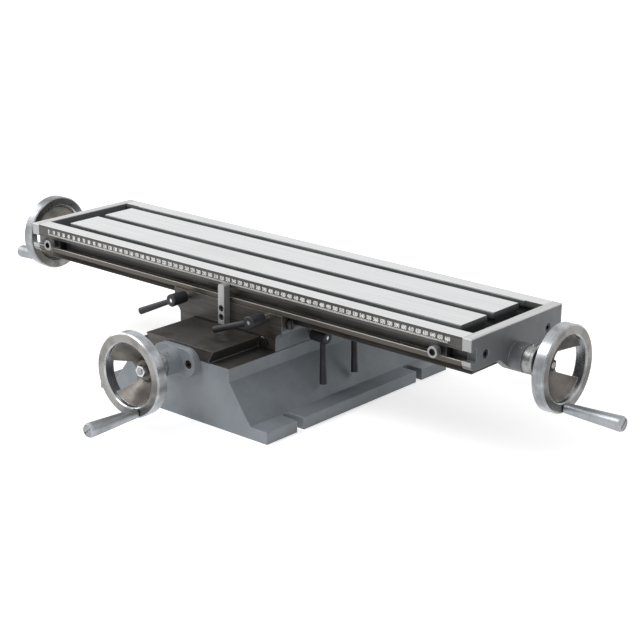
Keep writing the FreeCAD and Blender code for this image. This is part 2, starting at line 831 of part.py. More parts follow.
# Fixed stop in the middle of the saddle's front face
def make_stop_block():
    body = new_body("stop_block_bar")
    top = table_top - block_top
    foot = top - block_length
    front = saddle_front - block_depth
    half = block_width / 2
    add_prism(body, "XZ", [
        (half, foot),
        (half, top - block_chamfer),
        (half - block_chamfer, top),
        (-(half - block_chamfer), top),
        (-half, top - block_chamfer),
        (-half, foot),
    ], front, saddle_front)
    head_height = block_depth / 2
    head_room = block_head_radius + sink_gap / 2
    screws = []
    for row in (0, 1):
        level = foot + block_bolt_rise + block_bolt_pitch * row
        cut_rod(body, "XZ", 0, level, block_bolt_radius + seat_gap, front - 1, saddle_front + 1)
        cut_rod(body, "XZ", 0, level, head_room, front - 1, front + head_height)
        screws.append(socket_screw((0, front + head_height, level), "y-", block_bolt_radius,
                                   block_depth - head_height + block_screw_bite() - 1,
                                   block_head_radius, head_height - sink_gap))
    node(body, "stop_block")
    node(grouped(screws), "stop_block_screws")


# Clamping lever: a hub on a stud, with a slim arm that leans away from the saddle
def make_lever(label, stud_label, face, direction, angle, stand, stud_reach):
    hub_start = as_size(stand)
    hub_end = hub_start + lever_hub_length
    step = hub_start + lever_hub_length * 0.55
    edge = 1.2
    hub = turned(new_body(label + "_hub"), [
        (hub_start, stud_radius + seat_gap),
        (step, stud_radius + seat_gap),
        (step, stud_core_radius + seat_gap),
        (hub_end, stud_core_radius + seat_gap),
        (hub_end, lever_hub_radius - edge),
        (hub_end - edge, lever_hub_radius),
        (hub_start + edge, lever_hub_radius - 0.8),
        (hub_start, lever_hub_radius - 2),
    ])
    place(hub, face, OUTWARD_TURN[direction])
    across = cosine(angle) * cosine(lever_tilt)
    up = sine(angle) * cosine(lever_tilt)
    out = sine(lever_tilt)
    arm_level = hub_start + lever_hub_length * 0.66
    skip = lever_hub_radius * 0.8
    arm = doc.addObject("Part::Cone", label + "_arm")
    bind(arm, "Radius1", lever_root_radius)
    bind(arm, "Radius2", lever_tip_radius)
    bind(arm, "Height", as_size(lever_arm) - skip)
    if direction == "x+":
        lean = Vector(out.value, across.value, up.value)
        start = (face[0] + arm_level + skip * out, face[1] + skip * across, face[2] + skip * up)
    else:
        lean = Vector(across.value, -out.value, up.value)
        start = (face[0] + skip * across, face[1] - arm_level - skip * out, face[2] + skip * up)
    place(arm, start, Rotation(Vector(0, 0, 1), lean))
    node(united([hub, arm]), label)

    stud = turned(new_body(stud_label + "_pin"), [
        (-stud_reach, 0),
        (-stud_reach, stud_radius - 0.8),
        (-stud_reach + 0.8, stud_radius),
        (step - 0.2, stud_radius),
        (step - 0.2, stud_core_radius),
        (hub_end - 0.6, stud_core_radius),
        (hub_end - 0.6, 0),
    ])
    place(stud, face, OUTWARD_TURN[direction])
    node(stud, stud_label)


def make_levers():
    drop = x_lever_drop + stud_radius
    reach = -saddle_front - (x_root_half + flank_gap * 2 + gib_thick + drop * cot_angle) - thrust_gap * 3
    level = table_way - x_lever_drop
    spot = x_lever_pitch / 2
    make_lever("x_lock_lever_left", "x_lock_stud_left", (-spot, saddle_front, level), "y-",
               left_lever_angle, x_lever_stand, reach)
    make_lever("x_lock_lever_right", "x_lock_stud_right", (spot, saddle_front, level), "y-",
               right_lever_angle, x_lever_stand, reach)
    rise = y_lever_rise + stud_radius
    leg_half = saddle_leg_width / 2
    reach = leg_half - (y_root_half + flank_gap * 2 + gib_thick + rise * cot_angle) - thrust_gap * 3
    level = way_height + y_lever_rise
    spot = y_lever_pitch / 2
    make_lever("y_lock_lever_front", "y_lock_stud_front", (leg_half, -spot, level), "x+",
               side_lever_angle, y_lever_stand, reach)
    make_lever("y_lock_lever_back", "y_lock_stud_back", (leg_half, spot, level), "x+",
               side_lever_angle, y_lever_stand, reach)


# Table plate with T-slots, end troughs, screw channel, dovetail and stop groove
def make_table():
    body = new_body("table")
    half = table_width / 2
    crest_half = x_dove_width / 2
    add_prism(body, "YZ", mirrored([
        (crest_half, x_crest_height),
        (x_root_half, table_way),
        (half, table_way),
        (half, table_top),
    ]), -half_table, half_table)
    throat = slot_width / 2
    head = slot_head_width / 2
    neck_floor = table_top - slot_neck
    floor = neck_floor - slot_head_depth
    mouth = throat + slot_chamfer
    for row in (-1, 0, 1):
        middle = slot_pitch * row
        cut_prism(body, "YZ", [
            (middle - mouth, table_top),
            (middle - throat, table_top - slot_chamfer),
            (middle - throat, neck_floor),
            (middle - head, neck_floor),
            (middle - head, floor),
            (middle + head, floor),
            (middle + head, neck_floor),
            (middle + throat, neck_floor),
            (middle + throat, table_top - slot_chamfer),
            (middle + mouth, table_top),
        ], -half_table - 1, half_table + 1)
    trough_half = slot_pitch + mouth
    for side in (-1, 1):
        ends = (half_table - trough_length, half_table + 1)
        if side < 0:
            ends = (-ends[1], -ends[0])
        cut_prism(body, "XY", box_points(ends[0], ends[1], -trough_half, trough_half), floor, table_top + 1)
    channel_half = channel_width / 2
    cut_prism(body, "YZ", box_points(-channel_half, channel_half, x_crest_height - 1,
                                     x_crest_height + channel_depth), -half_table - 1, half_table + 1)
    cut_prism(body, "YZ", groove_section(), -half_table - 1, half_table + 1)
    strip_top = table_top - scale_drop
    cut_prism(body, "YZ", box_points(front_face - 1, front_face + scale_thick, strip_top - scale_height, strip_top),
              -half_table - 1, half_table + 1)
    for side in (-1, 1):
        for row in (-1, 1):
            ends = (half_table - bracket_bite(), half_table + 1)
            if side < 0:
                ends = (-ends[1], -ends[0])
            cut_rod(body, "YZ", bracket_bolt_pitch / 2 * row, table_top - bracket_bolt_drop,
                    bolt_radius + seat_gap, ends[0], ends[1])
    node(body, "table_plate")

    strip = block((-half_table, front_face, strip_top - scale_height + seat_gap),
                  (half_table, front_face + scale_thick - seat_gap, strip_top - seat_gap))
    node(strip, "scale_strip")


# The stop groove runs through the table plate and both end brackets
def groove_section():
    lip = groove_height / 2
    inner = groove_head_height / 2
    neck_back = front_face + groove_neck
    head_back = neck_back + groove_head_depth
    return [
        (front_face - 1, groove_mid - lip),
        (neck_back, groove_mid - lip),
        (neck_back, groove_mid - inner),
        (head_back, groove_mid - inner),
        (head_back, groove_mid + inner),
        (neck_back, groove_mid + inner),
        (neck_back, groove_mid + lip),
        (front_face - 1, groove_mid + lip),
    ]


def bracket_bite():
    return trough_length * 0.75


# End bracket of the table: a plate that bulges down round the screw boss
def make_end_bracket(side):
    name = "right" if side > 0 else "left"
    body = new_body(f"bracket_plate_{name}")

    def span(near, far):
        return (near, far) if side > 0 else (-far, -near)

    half = table_width / 2
    bottom = table_top - bracket_height
    plate = span(half_table, bracket_face)
    add_prism(body, "YZ", box_points(-half, half, bottom, table_top), *plate)
    soften(body, "Fillet", bracket_corner, [
        ("x", {"y": half, "z": bottom}),
        ("x", {"y": -half, "z": bottom}),
    ])
    bulge = x_boss_radius * 0.95
    bulge_foot = x_axis_height - bulge * 0.9
    add_prism(body, "YZ", [
        (-bulge_half, bottom + 2),
        (-bulge_half, bottom),
        (-bulge * 0.55, bulge_foot),
        (bulge * 0.55, bulge_foot),
        (bulge_half, bottom),
        (bulge_half, bottom + 2),
    ], *plate)
    add_rod(body, "YZ", 0, x_axis_height, x_boss_radius, *span(half_table, x_boss_face))
    cut_rod(body, "YZ", 0, x_axis_height, bush_radius, *span(half_table - 1, x_boss_face + 1))
    cut_prism(body, "YZ", groove_section(), *span(half_table - 1, bracket_face + 1))
    head_seat = bracket_face - bolt_head_height - sink_gap
    screws = []
    for row in (-1, 1):
        across = bracket_bolt_pitch / 2 * row
        level = table_top - bracket_bolt_drop
        cut_rod(body, "YZ", across, level, bolt_radius + seat_gap, *span(half_table - 1, bracket_face + 1))
        cut_rod(body, "YZ", across, level, bolt_head_radius + sink_gap, *span(head_seat, bracket_face + 1))
        screws.append(socket_screw((head_seat * side, across, level), "x+" if side > 0 else "x-", bolt_radius,
                                   bracket_bite() + head_seat - half_table - 1,
                                   bolt_head_radius, bolt_head_height))
    oiler, hole = ball_oiler(((x_boss_face - oiler_inset) * side, 0, x_axis_height), x_boss_radius, (1, 0, 0))
    node(less(body, [hole]), f"end_bracket_{name}")
    node(oiler, f"bracket_oiler_{name}")
    node(grouped(screws), f"bracket_bolts_{name}")
    make_bush(f"x_bush_{name}", (x_boss_face * side, 0, x_axis_height), "x+" if side > 0 else "x-",
              bracket_thick + x_boss_length)


# Stop dog: a T-nut in the front groove, a spacer and a socket head screw
def make_stop_dog(side):
    name = "right" if side > 0 else "left"
    middle = dog_reach * side
    start, end = middle - dog_nut_length / 2, middle + dog_nut_length / 2
    body = new_body(f"dog_nut_{name}")
    stem = groove_height / 2 - dog_play
    flange = groove_head_height / 2 - dog_play
    neck_back = front_face + groove_neck + dog_play
    head_back = neck_back + groove_head_depth - dog_play * 2
    add_prism(body, "YZ", [
        (front_face, groove_mid - stem),
        (neck_back, groove_mid - stem),
        (neck_back, groove_mid - flange),
        (head_back, groove_mid - flange),
        (head_back, groove_mid + flange),
        (neck_back, groove_mid + flange),
        (neck_back, groove_mid + stem),
        (front_face, groove_mid + stem),
    ], start, end)
    cut_rod(body, "XZ", middle, groove_mid, stud_radius + seat_gap, front_face - 1, head_back + 1)
    node(body, f"stop_nut_{name}")

    collar = less(rod((middle, front_face, groove_mid), "y-", dog_collar_radius, dog_collar_length),
                  [rod((middle, front_face + 1, groove_mid), "y-", stud_radius + seat_gap, dog_collar_length + 2)])
    node(collar, f"stop_spacer_{name}")
    screw = socket_screw((middle, front_face - dog_collar_length, groove_mid), "y-", stud_radius,
                         dog_collar_length + groove_neck + groove_head_depth * 0.6,
                         dog_head_radius, dog_head_length)
    node(screw, f"stop_screw_{name}")


# Long screw through both end brackets
def make_x_screw():
    thread_end = half_table - thrust_gap
    shoulder = x_boss_face + hub_front - 0.5
    tip = x_boss_face + hub_front + nut_height + 1.5
    half_profile = [
        (tip, 0),
        (tip, stub_radius - 0.6),
        (tip - 0.6, stub_radius),
        (shoulder, stub_radius),
        (shoulder, journal_radius),
        (thread_end, journal_radius),
        (thread_end, screw_radius - 0.8),
        (thread_end - 0.8, screw_radius),
    ]
    points = half_profile + [(-along, radius) for along, radius in reversed(half_profile)]
    body = turned(new_body("long_screw"), points)
    place(body, (0, 0, x_axis_height))
    node(body, "x_leadscrew")


# Cross screw, carried by the front bracket and ending inside the base
def make_y_screw():
    bracket_length = y_plate_thick + y_boss_length
    thread_end = -(bracket_length + thrust_gap)
    far_end = -(bracket_length + base_depth - base_wall - end_room * 2)
    shoulder = hub_front - 0.5
    tip = hub_front + nut_height + 1.5
    body = turned(new_body("cross_screw"), [
        (far_end, 0),
        (far_end, screw_radius - 0.8),
        (far_end + 0.8, screw_radius),
        (thread_end - 0.8, screw_radius),
        (thread_end, screw_radius - 0.8),
        (thread_end, journal_radius),
        (shoulder, journal_radius),
        (shoulder, stub_radius),
        (tip - 0.6, stub_radius),
        (tip, stub_radius - 0.6),
        (tip, 0),
    ])
    place(body, (0, y_boss_face, y_axis_height), OUTWARD_TURN["y-"])
    node(body, "y_leadscrew")


# Graduated dial with a knurled rim and its set screw
def make_dial(prefix, suffix, face, direction):
    bore = journal_radius + seat_gap
    start = as_size(dial_gap)
    end = start + dial_length
    body = turned(new_body(f"{prefix}_dial_ring{suffix}"), [
        (start, bore),
        (start, dial_radius - 1),
        (start + 1, dial_radius),
        (start + dial_face, dial_radius),
        (start + dial_face + 0.4, dial_rim_radius),
        (end - 0.6, dial_rim_radius),
        (end, dial_rim_radius - 0.6),
        (end, bore),
    ])
    screw_at = start + dial_face * 0.5
    cut_rod(body, "XY", screw_at, 0, 2 + seat_gap, journal_radius, dial_rim_radius + 1)
    place(body, face, OUTWARD_TURN[direction])
    node(body, f"{prefix}_dial{suffix}")
    screw_spot = moved(face, direction, screw_at)
    seat = (screw_spot[0], screw_spot[1], as_size(screw_spot[2]) + journal_radius + 0.3)
    length = dial_radius - journal_radius + 0.9
    pin = rod(seat, "z+", 2, length)
    socket = hexagon((seat[0], seat[1], seat[2] + length - 1.5), "z+", 2, 2.5)
    node(less(pin, [socket]), f"{prefix}_dial_screw{suffix}")


# Two-spoke handwheel, dished so that the hub sits well behind the rim
def make_wheel(prefix, suffix, face, direction, turn):
    bore = journal_radius + seat_gap
    rim_back = rim_front - rim_length
    web_back = hub_back + 2
    web_rise = (rim_front - rim_round) - (rim_back + rim_round)
    web_seat = rim_back + rim_round + web_rise * 0.1
    body = turned(new_body(f"{prefix}_wheel{suffix}"), [
        (hub_back, bore),
        (hub_back, hub_radius - 1),
        (hub_back + 1, hub_radius),
        (web_back, hub_radius),
        (web_seat, rim_in_radius),
        (rim_back + rim_round, rim_in_radius),
        (rim_back, rim_in_radius + rim_round),
        (rim_back, rim_radius - rim_round),
        (rim_back + rim_round, rim_radius),
        (rim_front - rim_round, rim_radius),
        (rim_front, rim_radius - rim_round),
        (rim_front, rim_in_radius + rim_round),
        (rim_front - rim_round, rim_in_radius),
        (web_seat + web_thick, rim_in_radius),
        (web_back + web_thick, hub_radius),
        (hub_front - 1, hub_radius),
        (hub_front, hub_radius - 1),
        (hub_front, bore),
    ])
    for side in (-1, 1):
        cut_opening(body, side)
    cut_rod(body, "YZ", 0, -handle_reach, spindle_radius + seat_gap, rim_back - 1, rim_front + 1)
    place(body, face, OUTWARD_TURN[direction] * Rotation(Vector(1, 0, 0), turn.value))
    node(body, f"{prefix}_handwheel{suffix}")

    nut_seat = moved(face, direction, hub_front)
    nut = less(hexagon(nut_seat, direction, nut_flats, nut_height),
               [rod(moved(face, direction, hub_front - 1), direction, stub_radius + seat_gap, nut_height + 2)])
    node(nut, f"{prefix}_wheel_nut{suffix}")
    make_handle(prefix, suffix, face, direction, turn)


# The opening beside the spokes: straight sides that widen, closed by an arc along the rim
def cut_opening(body, side):
    sketch = swept(body, "YZ", hub_front - hub_length - 1, rim_front + 1, False)
    inner = hub_radius + 1.5
    reach = rim_in_radius.value
    spread = math.asin(spoke_rim_half.value / reach)
    middle = 0 if side > 0 else math.pi
    half_angle = math.pi / 2 - spread
    centre_circle = Part.Circle(Vector(0, 0, 0), Vector(0, 0, 1), reach)
    arc = Part.ArcOfCircle(centre_circle, middle - half_angle, middle + half_angle)
    sketch.addGeometry(arc, False)
    start, end = arc.StartPoint, arc.EndPoint
    near = inner.value * side
    low_sign = 1 if side < 0 else -1
    corner_end = Vector(near, -spoke_hub_half.value * low_sign, 0)
    corner_start = Vector(near, spoke_hub_half.value * low_sign, 0)
    sketch.addGeometry(Part.LineSegment(end, corner_end), False)
    sketch.addGeometry(Part.LineSegment(corner_end, corner_start), False)
    sketch.addGeometry(Part.LineSegment(corner_start, start), False)
    for first, first_end, second, second_end in ((0, 2, 1, 1), (1, 2, 2, 1), (2, 2, 3, 1), (3, 2, 0, 1)):
        sketch.addConstraint(Sketcher.Constraint("Coincident", first, first_end, second, second_end))
    sketch.addConstraint(Sketcher.Constraint("Coincident", 0, 3, -1, 1))
    index = sketch.addConstraint(Sketcher.Constraint("Radius", 0, reach))
    sketch.renameConstraint(index, "reach")
    bind(sketch, "Constraints.reach", rim_in_radius)
    pin_point(sketch, 2, 1, inner * side, -spoke_hub_half * low_sign)
    pin_point(sketch, 2, 2, inner * side, spoke_hub_half * low_sign)
    for name, end_index, sign in (("start", 1, low_sign), ("end", 2, -low_sign)):
        size = spoke_rim_half * sign
        index = sketch.addConstraint(Sketcher.Constraint("DistanceY", -1, 1, 0, end_index, size.value))
        sketch.renameConstraint(index, name)
        bind(sketch, f"Constraints.{name}", size)


# Revolving grip on a slotted spindle
def make_handle(prefix, suffix, face, direction, turn):
    aside = sine(turn) * handle_reach
    down = cosine(turn) * handle_reach
    rim_face = moved(face, direction, rim_front)
    sign = {"x+": (0, 1), "x-": (0, -1), "y-": (1, 0)}[direction]
    spot = (as_size(rim_face[0]) + aside * sign[0], as_size(rim_face[1]) + aside * sign[1],
            as_size(rim_face[2]) - down)
    start = as_size(0.5)
    end = start + handle_length
    pocket = end - spindle_head_length - grip_gap * 2
    pocket_radius = spindle_head_radius + grip_gap
    bore = spindle_radius + grip_gap
    grip = turned(new_body(f"{prefix}_grip{suffix}"), [
        (start, bore),
        (start, handle_root_radius - 0.6),
        (start + 0.6, handle_root_radius),
        (end - 3, handle_tip_radius),
        (end, handle_tip_radius - 1.2),
        (end, pocket_radius),
        (pocket, pocket_radius),
        (pocket, bore),
    ])
    place(grip, spot, OUTWARD_TURN[direction])
    node(grip, f"{prefix}_handle_grip{suffix}")

    head_start = end - spindle_head_length - grip_gap
    spindle = turned(new_body(f"{prefix}_spindle{suffix}"), [
        (-rim_length, 0),
        (-rim_length, spindle_radius),
        (head_start, spindle_radius),
        (head_start, spindle_head_radius),
        (end - grip_gap, spindle_head_radius),
        (end - grip_gap, 0),
    ])
    slot_half = 0.7
    cut_prism(spindle, "XZ", box_points(end - grip_gap - 1.4, end + 1, -slot_half, slot_half),
              -spindle_head_radius - 1, spindle_head_radius + 1)
    place(spindle, spot, OUTWARD_TURN[direction] * Rotation(Vector(1, 0, 0), 40))
    node(spindle, f"{prefix}_handle_spindle{suffix}")


def make_all():
    make_base()
    make_front_bracket()
    make_bush("y_bush", (0, y_boss_face, y_axis_height), "y-", y_plate_thick + y_boss_length)
    make_saddle()
    make_gibs()
    make_x_nut()
    make_y_nut()
    make_stop_block()
    make_levers()
    make_table()
    for side in (-1, 1):
        make_end_bracket(side)
        make_stop_dog(side)
    make_x_screw()
    make_y_screw()
    ends = [
        ("x", "_right", (x_boss_face, 0, x_axis_height), "x+", right_turn),
        ("x", "_left", (-x_boss_face, 0, x_axis_height), "x-", left_turn),
        ("y", "", (0, y_boss_face, y_axis_height), "y-", front_turn),
    ]
    for prefix, suffix, face, direction, turn in ends:
        make_dial(prefix, suffix, face, direction)
        make_wheel(prefix, suffix, face, direction, turn)


def write_parts():
    doc.recompute()
    faults = [thing.Name for thing in doc.Objects if "Invalid" in thing.State or "Error" in thing.State]
    for thing in nodes:
        if thing.Shape.isNull() or not thing.Shape.isValid() or not thing.Shape.Solids:
            faults.append(thing.Label)
    if faults:
        raise RuntimeError(f"failed: {faults}")
    os.makedirs("parts", exist_ok=True)
    for thing in nodes:
        thing.Shape.exportStep(f"parts/{thing.Label}.step")
    print(len(nodes), "nodes written")


make_all()
write_parts()
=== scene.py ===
"""Cross slide table: finishes, graduations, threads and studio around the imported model."""

import json
import math

import bmesh
import bpy
from mathutils import Matrix, Vector


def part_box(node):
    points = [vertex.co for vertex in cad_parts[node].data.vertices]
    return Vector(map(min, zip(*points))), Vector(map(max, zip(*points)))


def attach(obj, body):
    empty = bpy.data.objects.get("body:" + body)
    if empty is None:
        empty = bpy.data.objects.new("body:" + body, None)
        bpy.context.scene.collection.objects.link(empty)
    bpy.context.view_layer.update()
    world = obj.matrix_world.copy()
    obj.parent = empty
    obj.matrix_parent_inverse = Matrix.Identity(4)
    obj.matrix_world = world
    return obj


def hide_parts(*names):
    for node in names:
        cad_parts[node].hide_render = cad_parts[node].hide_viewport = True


bl_info = {
    "name": "Cross Slide Table",
    "version": (1, 0, 0),
    "blender": (4, 5, 0),
    "location": "View3D > Sidebar > Cross Slide",
    "description": "Finishes and fine pieces of a T-slotted cross slide table with its studio",
    "category": "Object",
}

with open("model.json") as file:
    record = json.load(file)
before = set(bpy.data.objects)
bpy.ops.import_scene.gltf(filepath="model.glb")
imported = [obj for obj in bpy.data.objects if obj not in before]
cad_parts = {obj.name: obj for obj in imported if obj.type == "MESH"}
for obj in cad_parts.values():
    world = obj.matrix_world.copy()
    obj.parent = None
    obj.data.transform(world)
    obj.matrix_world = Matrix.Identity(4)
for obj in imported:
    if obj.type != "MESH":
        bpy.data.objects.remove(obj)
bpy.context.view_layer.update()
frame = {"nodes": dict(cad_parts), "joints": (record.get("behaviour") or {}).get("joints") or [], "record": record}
NODES = frame["nodes"]
JOINTS = {joint["name"]: joint for joint in frame["joints"]}

TABLE_LOW, TABLE_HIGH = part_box("table_plate")
X_SCREW_HEIGHT = JOINTS["x_crank_turn"]["pos_m"][2]
Y_SCREW_HEIGHT = JOINTS["y_crank_turn"]["pos_m"][2]

# Where one finish meets another, and where painted shade and a painted highlight line lie, in metres
WAY_HEIGHT = 0.078
SADDLE_FRONT = -0.092
SADDLE_LEG_SIDE = 0.080
BLOCK_BOTTOM = 0.102
THROAT_BOTTOM = 0.150
BELOW_SLOTS = 0.1405
LIP_TOP = 0.1311
LIP_HIGHLIGHT_WIDTH = 0.0009
WHEEL_RIM_INSIDE = 0.0383
WHEEL_NUT = 0.0075
STOP_SOCKET_RADIUS = 0.0042

# Dull webs of the handwheels: their tone, and what is added to the roughness
WEB_TONE = (0.175, 0.163, 0.150)
WEB_MATT = 0.22

# Marks and knurls of the dials, each with the body that it rides on
DIALS = (("x_dial_right", "x_crank"), ("x_dial_left", "x_crank"), ("y_dial", "y_crank"))
DIAL_RADIUS = 0.017
DIAL_NUMBER_PLACE = 0.0074
KNURL_RADIUS = 0.0176

# Numbers of the strip and the dials
DIGIT_TO_FONT_SIZE = 1.38
NUMBER_RELIEF = 0.00004

# Thread of the lead screws, with its profile as shares of the lead and their radii
THREAD_CORE = 0.0063
THREAD_CREST = 0.008
THREAD_ROOT = THREAD_CORE - 0.0001
THREAD_SEAT = 0.0005
THREAD_FACETS = 18
THREAD_PROFILE = ((0.25, THREAD_ROOT), (0.40, THREAD_CREST), (0.74, THREAD_CREST), (0.89, THREAD_ROOT))


# Small helpers for node trees


class Wiring:
    """Places nodes in one tree and joins their sockets."""

    def __init__(self, tree):
        self.tree = tree

    def add(self, kind, **settings):
        node = self.tree.nodes.new(kind)
        for name, value in settings.items():
            setattr(node, name, value)
        return node

    def feed(self, socket, source):
        if isinstance(source, bpy.types.NodeSocket):
            self.tree.links.new(source, socket)
        else:
            socket.default_value = source

    def placed(self, kind, sources, **settings):
        node = self.add(kind, **settings)
        for key, source in sources.items():
            self.feed(node.inputs[key], source)
        return node

    def math(self, operation, first, second=0.0, clamp=False):
        node = self.placed("ShaderNodeMath", {0: first, 1: second}, operation=operation, use_clamp=clamp)
        return node.outputs[0]

    def blend(self, share, first, second, way="MIX"):
        sources = {0: share, 6: first, 7: second}
        node = self.placed("ShaderNodeMix", sources, data_type="RGBA", blend_type=way)
        return node.outputs[2]

    def between(self, share, low, high):
        node = self.placed("ShaderNodeMix", {0: share, 2: low, 3: high}, data_type="FLOAT")
        return node.outputs[0]

    def ramp(self, value, low, high, bottom=0.0, top=1.0):
        sources = {0: value, 1: low, 2: high, 3: bottom, 4: top}
        return self.placed("ShaderNodeMapRange", sources, interpolation_type="SMOOTHSTEP").outputs[0]

    def combined(self, x=0.0, y=0.0, z=0.0):
        return self.placed("ShaderNodeCombineXYZ", {0: x, 1: y, 2: z}).outputs[0]

    def vector(self, operation, first, second):
        return self.placed("ShaderNodeVectorMath", {0: first, 1: second}, operation=operation).outputs[0]

    def dot(self, first, second):
        node = self.placed("ShaderNodeVectorMath", {0: first, 1: second}, operation="DOT_PRODUCT")
        return node.outputs["Value"]

    def noise(self, vector, scale, detail=2.0, roughness=0.5):
        sources = {"Vector": vector, "Scale": scale, "Detail": detail, "Roughness": roughness}
        return self.placed("ShaderNodeTexNoise", sources).outputs[0]

    def group(self, tree, **sources):
        node = self.add("ShaderNodeGroup", node_tree=tree)
        for label, source in sources.items():
            self.feed(node.inputs[label.replace("_", " ")], source)
        return node.outputs


def new_group(name, inputs, outputs, kind="ShaderNodeTree"):
    tree = bpy.data.node_groups.new(name, kind)
    for label, socket_type, default in inputs:
        socket = tree.interface.new_socket(name=label, in_out="INPUT", socket_type=socket_type)
        if default is not None:
            socket.default_value = default
    for label, socket_type in outputs:
        tree.interface.new_socket(name=label, in_out="OUTPUT", socket_type=socket_type)
    wiring = Wiring(tree)
    entry = wiring.add("NodeGroupInput")
    result = wiring.add("NodeGroupOutput")
    return tree, wiring, entry.outputs, result.inputs


# Shader groups that several finishes share


def worn_and_highlit_edges_group():
    """Finds edges by comparing a rounded normal with the flat one, and breaks them up. The finishes lighten these
    edges, partly as wear and partly as a painted highlight.
    """
    known = bpy.data.node_groups.get("worn_and_highlit_edges")
    if known:
        return known
    tree, wiring, entry, result = new_group(
        "worn_and_highlit_edges",
        [("Radius", "NodeSocketFloat", 0.001), ("Breakup", "NodeSocketFloat", 0.5)],
        [("Edge", "NodeSocketFloat"), ("Normal", "NodeSocketVector")],
    )
    rounded = wiring.placed("ShaderNodeBevel", {"Radius": entry["Radius"]}, samples=4).outputs[0]
    flat = wiring.add("ShaderNodeNewGeometry").outputs["True Normal"]
    turned = wiring.ramp(wiring.dot(rounded, flat), 0.995, 0.86)
    place = wiring.add("ShaderNodeTexCoord").outputs["Object"]
    patches = wiring.ramp(wiring.noise(place, 160.0, 3.0), 0.35, 0.65)
    kept = wiring.math("SUBTRACT", 1.0, wiring.math("MULTIPLY", patches, entry["Breakup"]))
    wiring.feed(result["Edge"], wiring.math("MULTIPLY", turned, kept, clamp=True))
    wiring.feed(result["Normal"], rounded)
    return tree


def casting_skin_group():
    """Fine grain and slow patches of a painted or bare casting."""
    known = bpy.data.node_groups.get("casting_skin")
    if known:
        return known
    tree, wiring, entry, result = new_group(
        "casting_skin",
        [("Fineness", "NodeSocketFloat", 700.0), ("Patch Size", "NodeSocketFloat", 22.0)],
        [("Height", "NodeSocketFloat"), ("Patches", "NodeSocketFloat")],
    )
    place = wiring.add("ShaderNodeTexCoord").outputs["Object"]
    grain = wiring.noise(place, entry["Fineness"], 2.0, 0.6)
    waves = wiring.noise(place, 90.0, 2.0)
    height = wiring.math("ADD", wiring.math("MULTIPLY", grain, 0.6), wiring.math("MULTIPLY", waves, 0.4))
    wiring.feed(result["Height"], height)
    wiring.feed(result["Patches"], wiring.noise(place, entry["Patch Size"], 4.0, 0.6))
    return tree


def machined_lines_group():
    """Lines left by a tool that ran along one direction."""
    known = bpy.data.node_groups.get("machined_lines")
    if known:
        return known
    tree, wiring, entry, result = new_group(
        "machined_lines",
        [("Stretch", "NodeSocketVector", (10.0, 900.0, 900.0))],
        [("Lines", "NodeSocketFloat")],
    )
    place = wiring.add("ShaderNodeTexCoord").outputs["Object"]
    along = wiring.vector("MULTIPLY", place, entry["Stretch"])
    wiring.feed(result["Lines"], wiring.noise(along, 1.0, 3.0, 0.6))
    return tree


def lathe_rings_group():
    """Rings and slow shades round a turning axis, and the distance from it."""
    known = bpy.data.node_groups.get("lathe_rings")
    if known:
        return known
    tree, wiring, entry, result = new_group(
        "lathe_rings",
        [("Centre", "NodeSocketVector", (0.0, 0.0, 0.0)), ("Across", "NodeSocketVector", (0.0, 1.0, 1.0)),
         ("Along", "NodeSocketVector", (1.0, 0.0, 0.0)), ("Fineness", "NodeSocketFloat", 2200.0)],
        [("Rings", "NodeSocketFloat"), ("Shades", "NodeSocketFloat"), ("Radius", "NodeSocketFloat")],
    )
    place = wiring.add("ShaderNodeTexCoord").outputs["Object"]
    near = wiring.vector("SUBTRACT", place, entry["Centre"])
    flat = wiring.vector("MULTIPLY", near, entry["Across"])
    radius = wiring.placed("ShaderNodeVectorMath", {0: flat}, operation="LENGTH").outputs["Value"]
    depth = wiring.dot(near, entry["Along"])
    step = wiring.combined(radius, depth)
    wiring.feed(result["Rings"], wiring.noise(step, entry["Fineness"], 2.0, 0.7))
    wiring.feed(result["Shades"], wiring.noise(near, 26.0, 3.0, 0.55))
    wiring.feed(result["Radius"], radius)
    return tree


def oil_film_group():
    """Blotches of old oil on bare iron."""
    known = bpy.data.node_groups.get("oil_film")
    if known:
        return known
    tree, wiring, entry, result = new_group(
        "oil_film",
        [("Size", "NodeSocketFloat", 30.0)],
        [("Film", "NodeSocketFloat")],
    )
    place = wiring.add("ShaderNodeTexCoord").outputs["Object"]
    clouds = wiring.noise(wiring.vector("MULTIPLY", place, (0.5, 0.5, 2.0)), entry["Size"], 5.0, 0.65)
    wiring.feed(result["Film"], wiring.ramp(clouds, 0.42, 0.66))
    return tree


# Building blocks of a finish


def new_finish(name):
    material = bpy.data.materials.new(name)
    material.use_nodes = True
    wiring = Wiring(material.node_tree)
    shader = material.node_tree.nodes["Principled BSDF"]
    return material, wiring, shader


def object_axes(wiring):
    place = wiring.add("ShaderNodeTexCoord").outputs["Object"]
    return wiring.placed("ShaderNodeSeparateXYZ", {0: place}).outputs


def above(wiring, value, edge):
    return wiring.math("GREATER_THAN", value, edge)


def below(wiring, value, edge):
    return wiring.math("LESS_THAN", value, edge)


def both(wiring, first, second):
    return wiring.math("MULTIPLY", first, second)


def bumped(wiring, height, strength, distance, normal=None):
    sources = {"Strength": strength, "Distance": distance, "Height": height}
    if normal is not None:
        sources["Normal"] = normal
    return wiring.placed("ShaderNodeBump", sources).outputs[0]


def grey(level, tint=(1.0, 1.0, 1.0)):
    return (level * tint[0], level * tint[1], level * tint[2], 1.0)


def colour(values):
    return (values[0], values[1], values[2], 1.0)


def wear(node, material):
    """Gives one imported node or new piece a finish."""
    mesh = node.data
    mesh.materials.clear()
    mesh.materials.append(material)


# Finishes


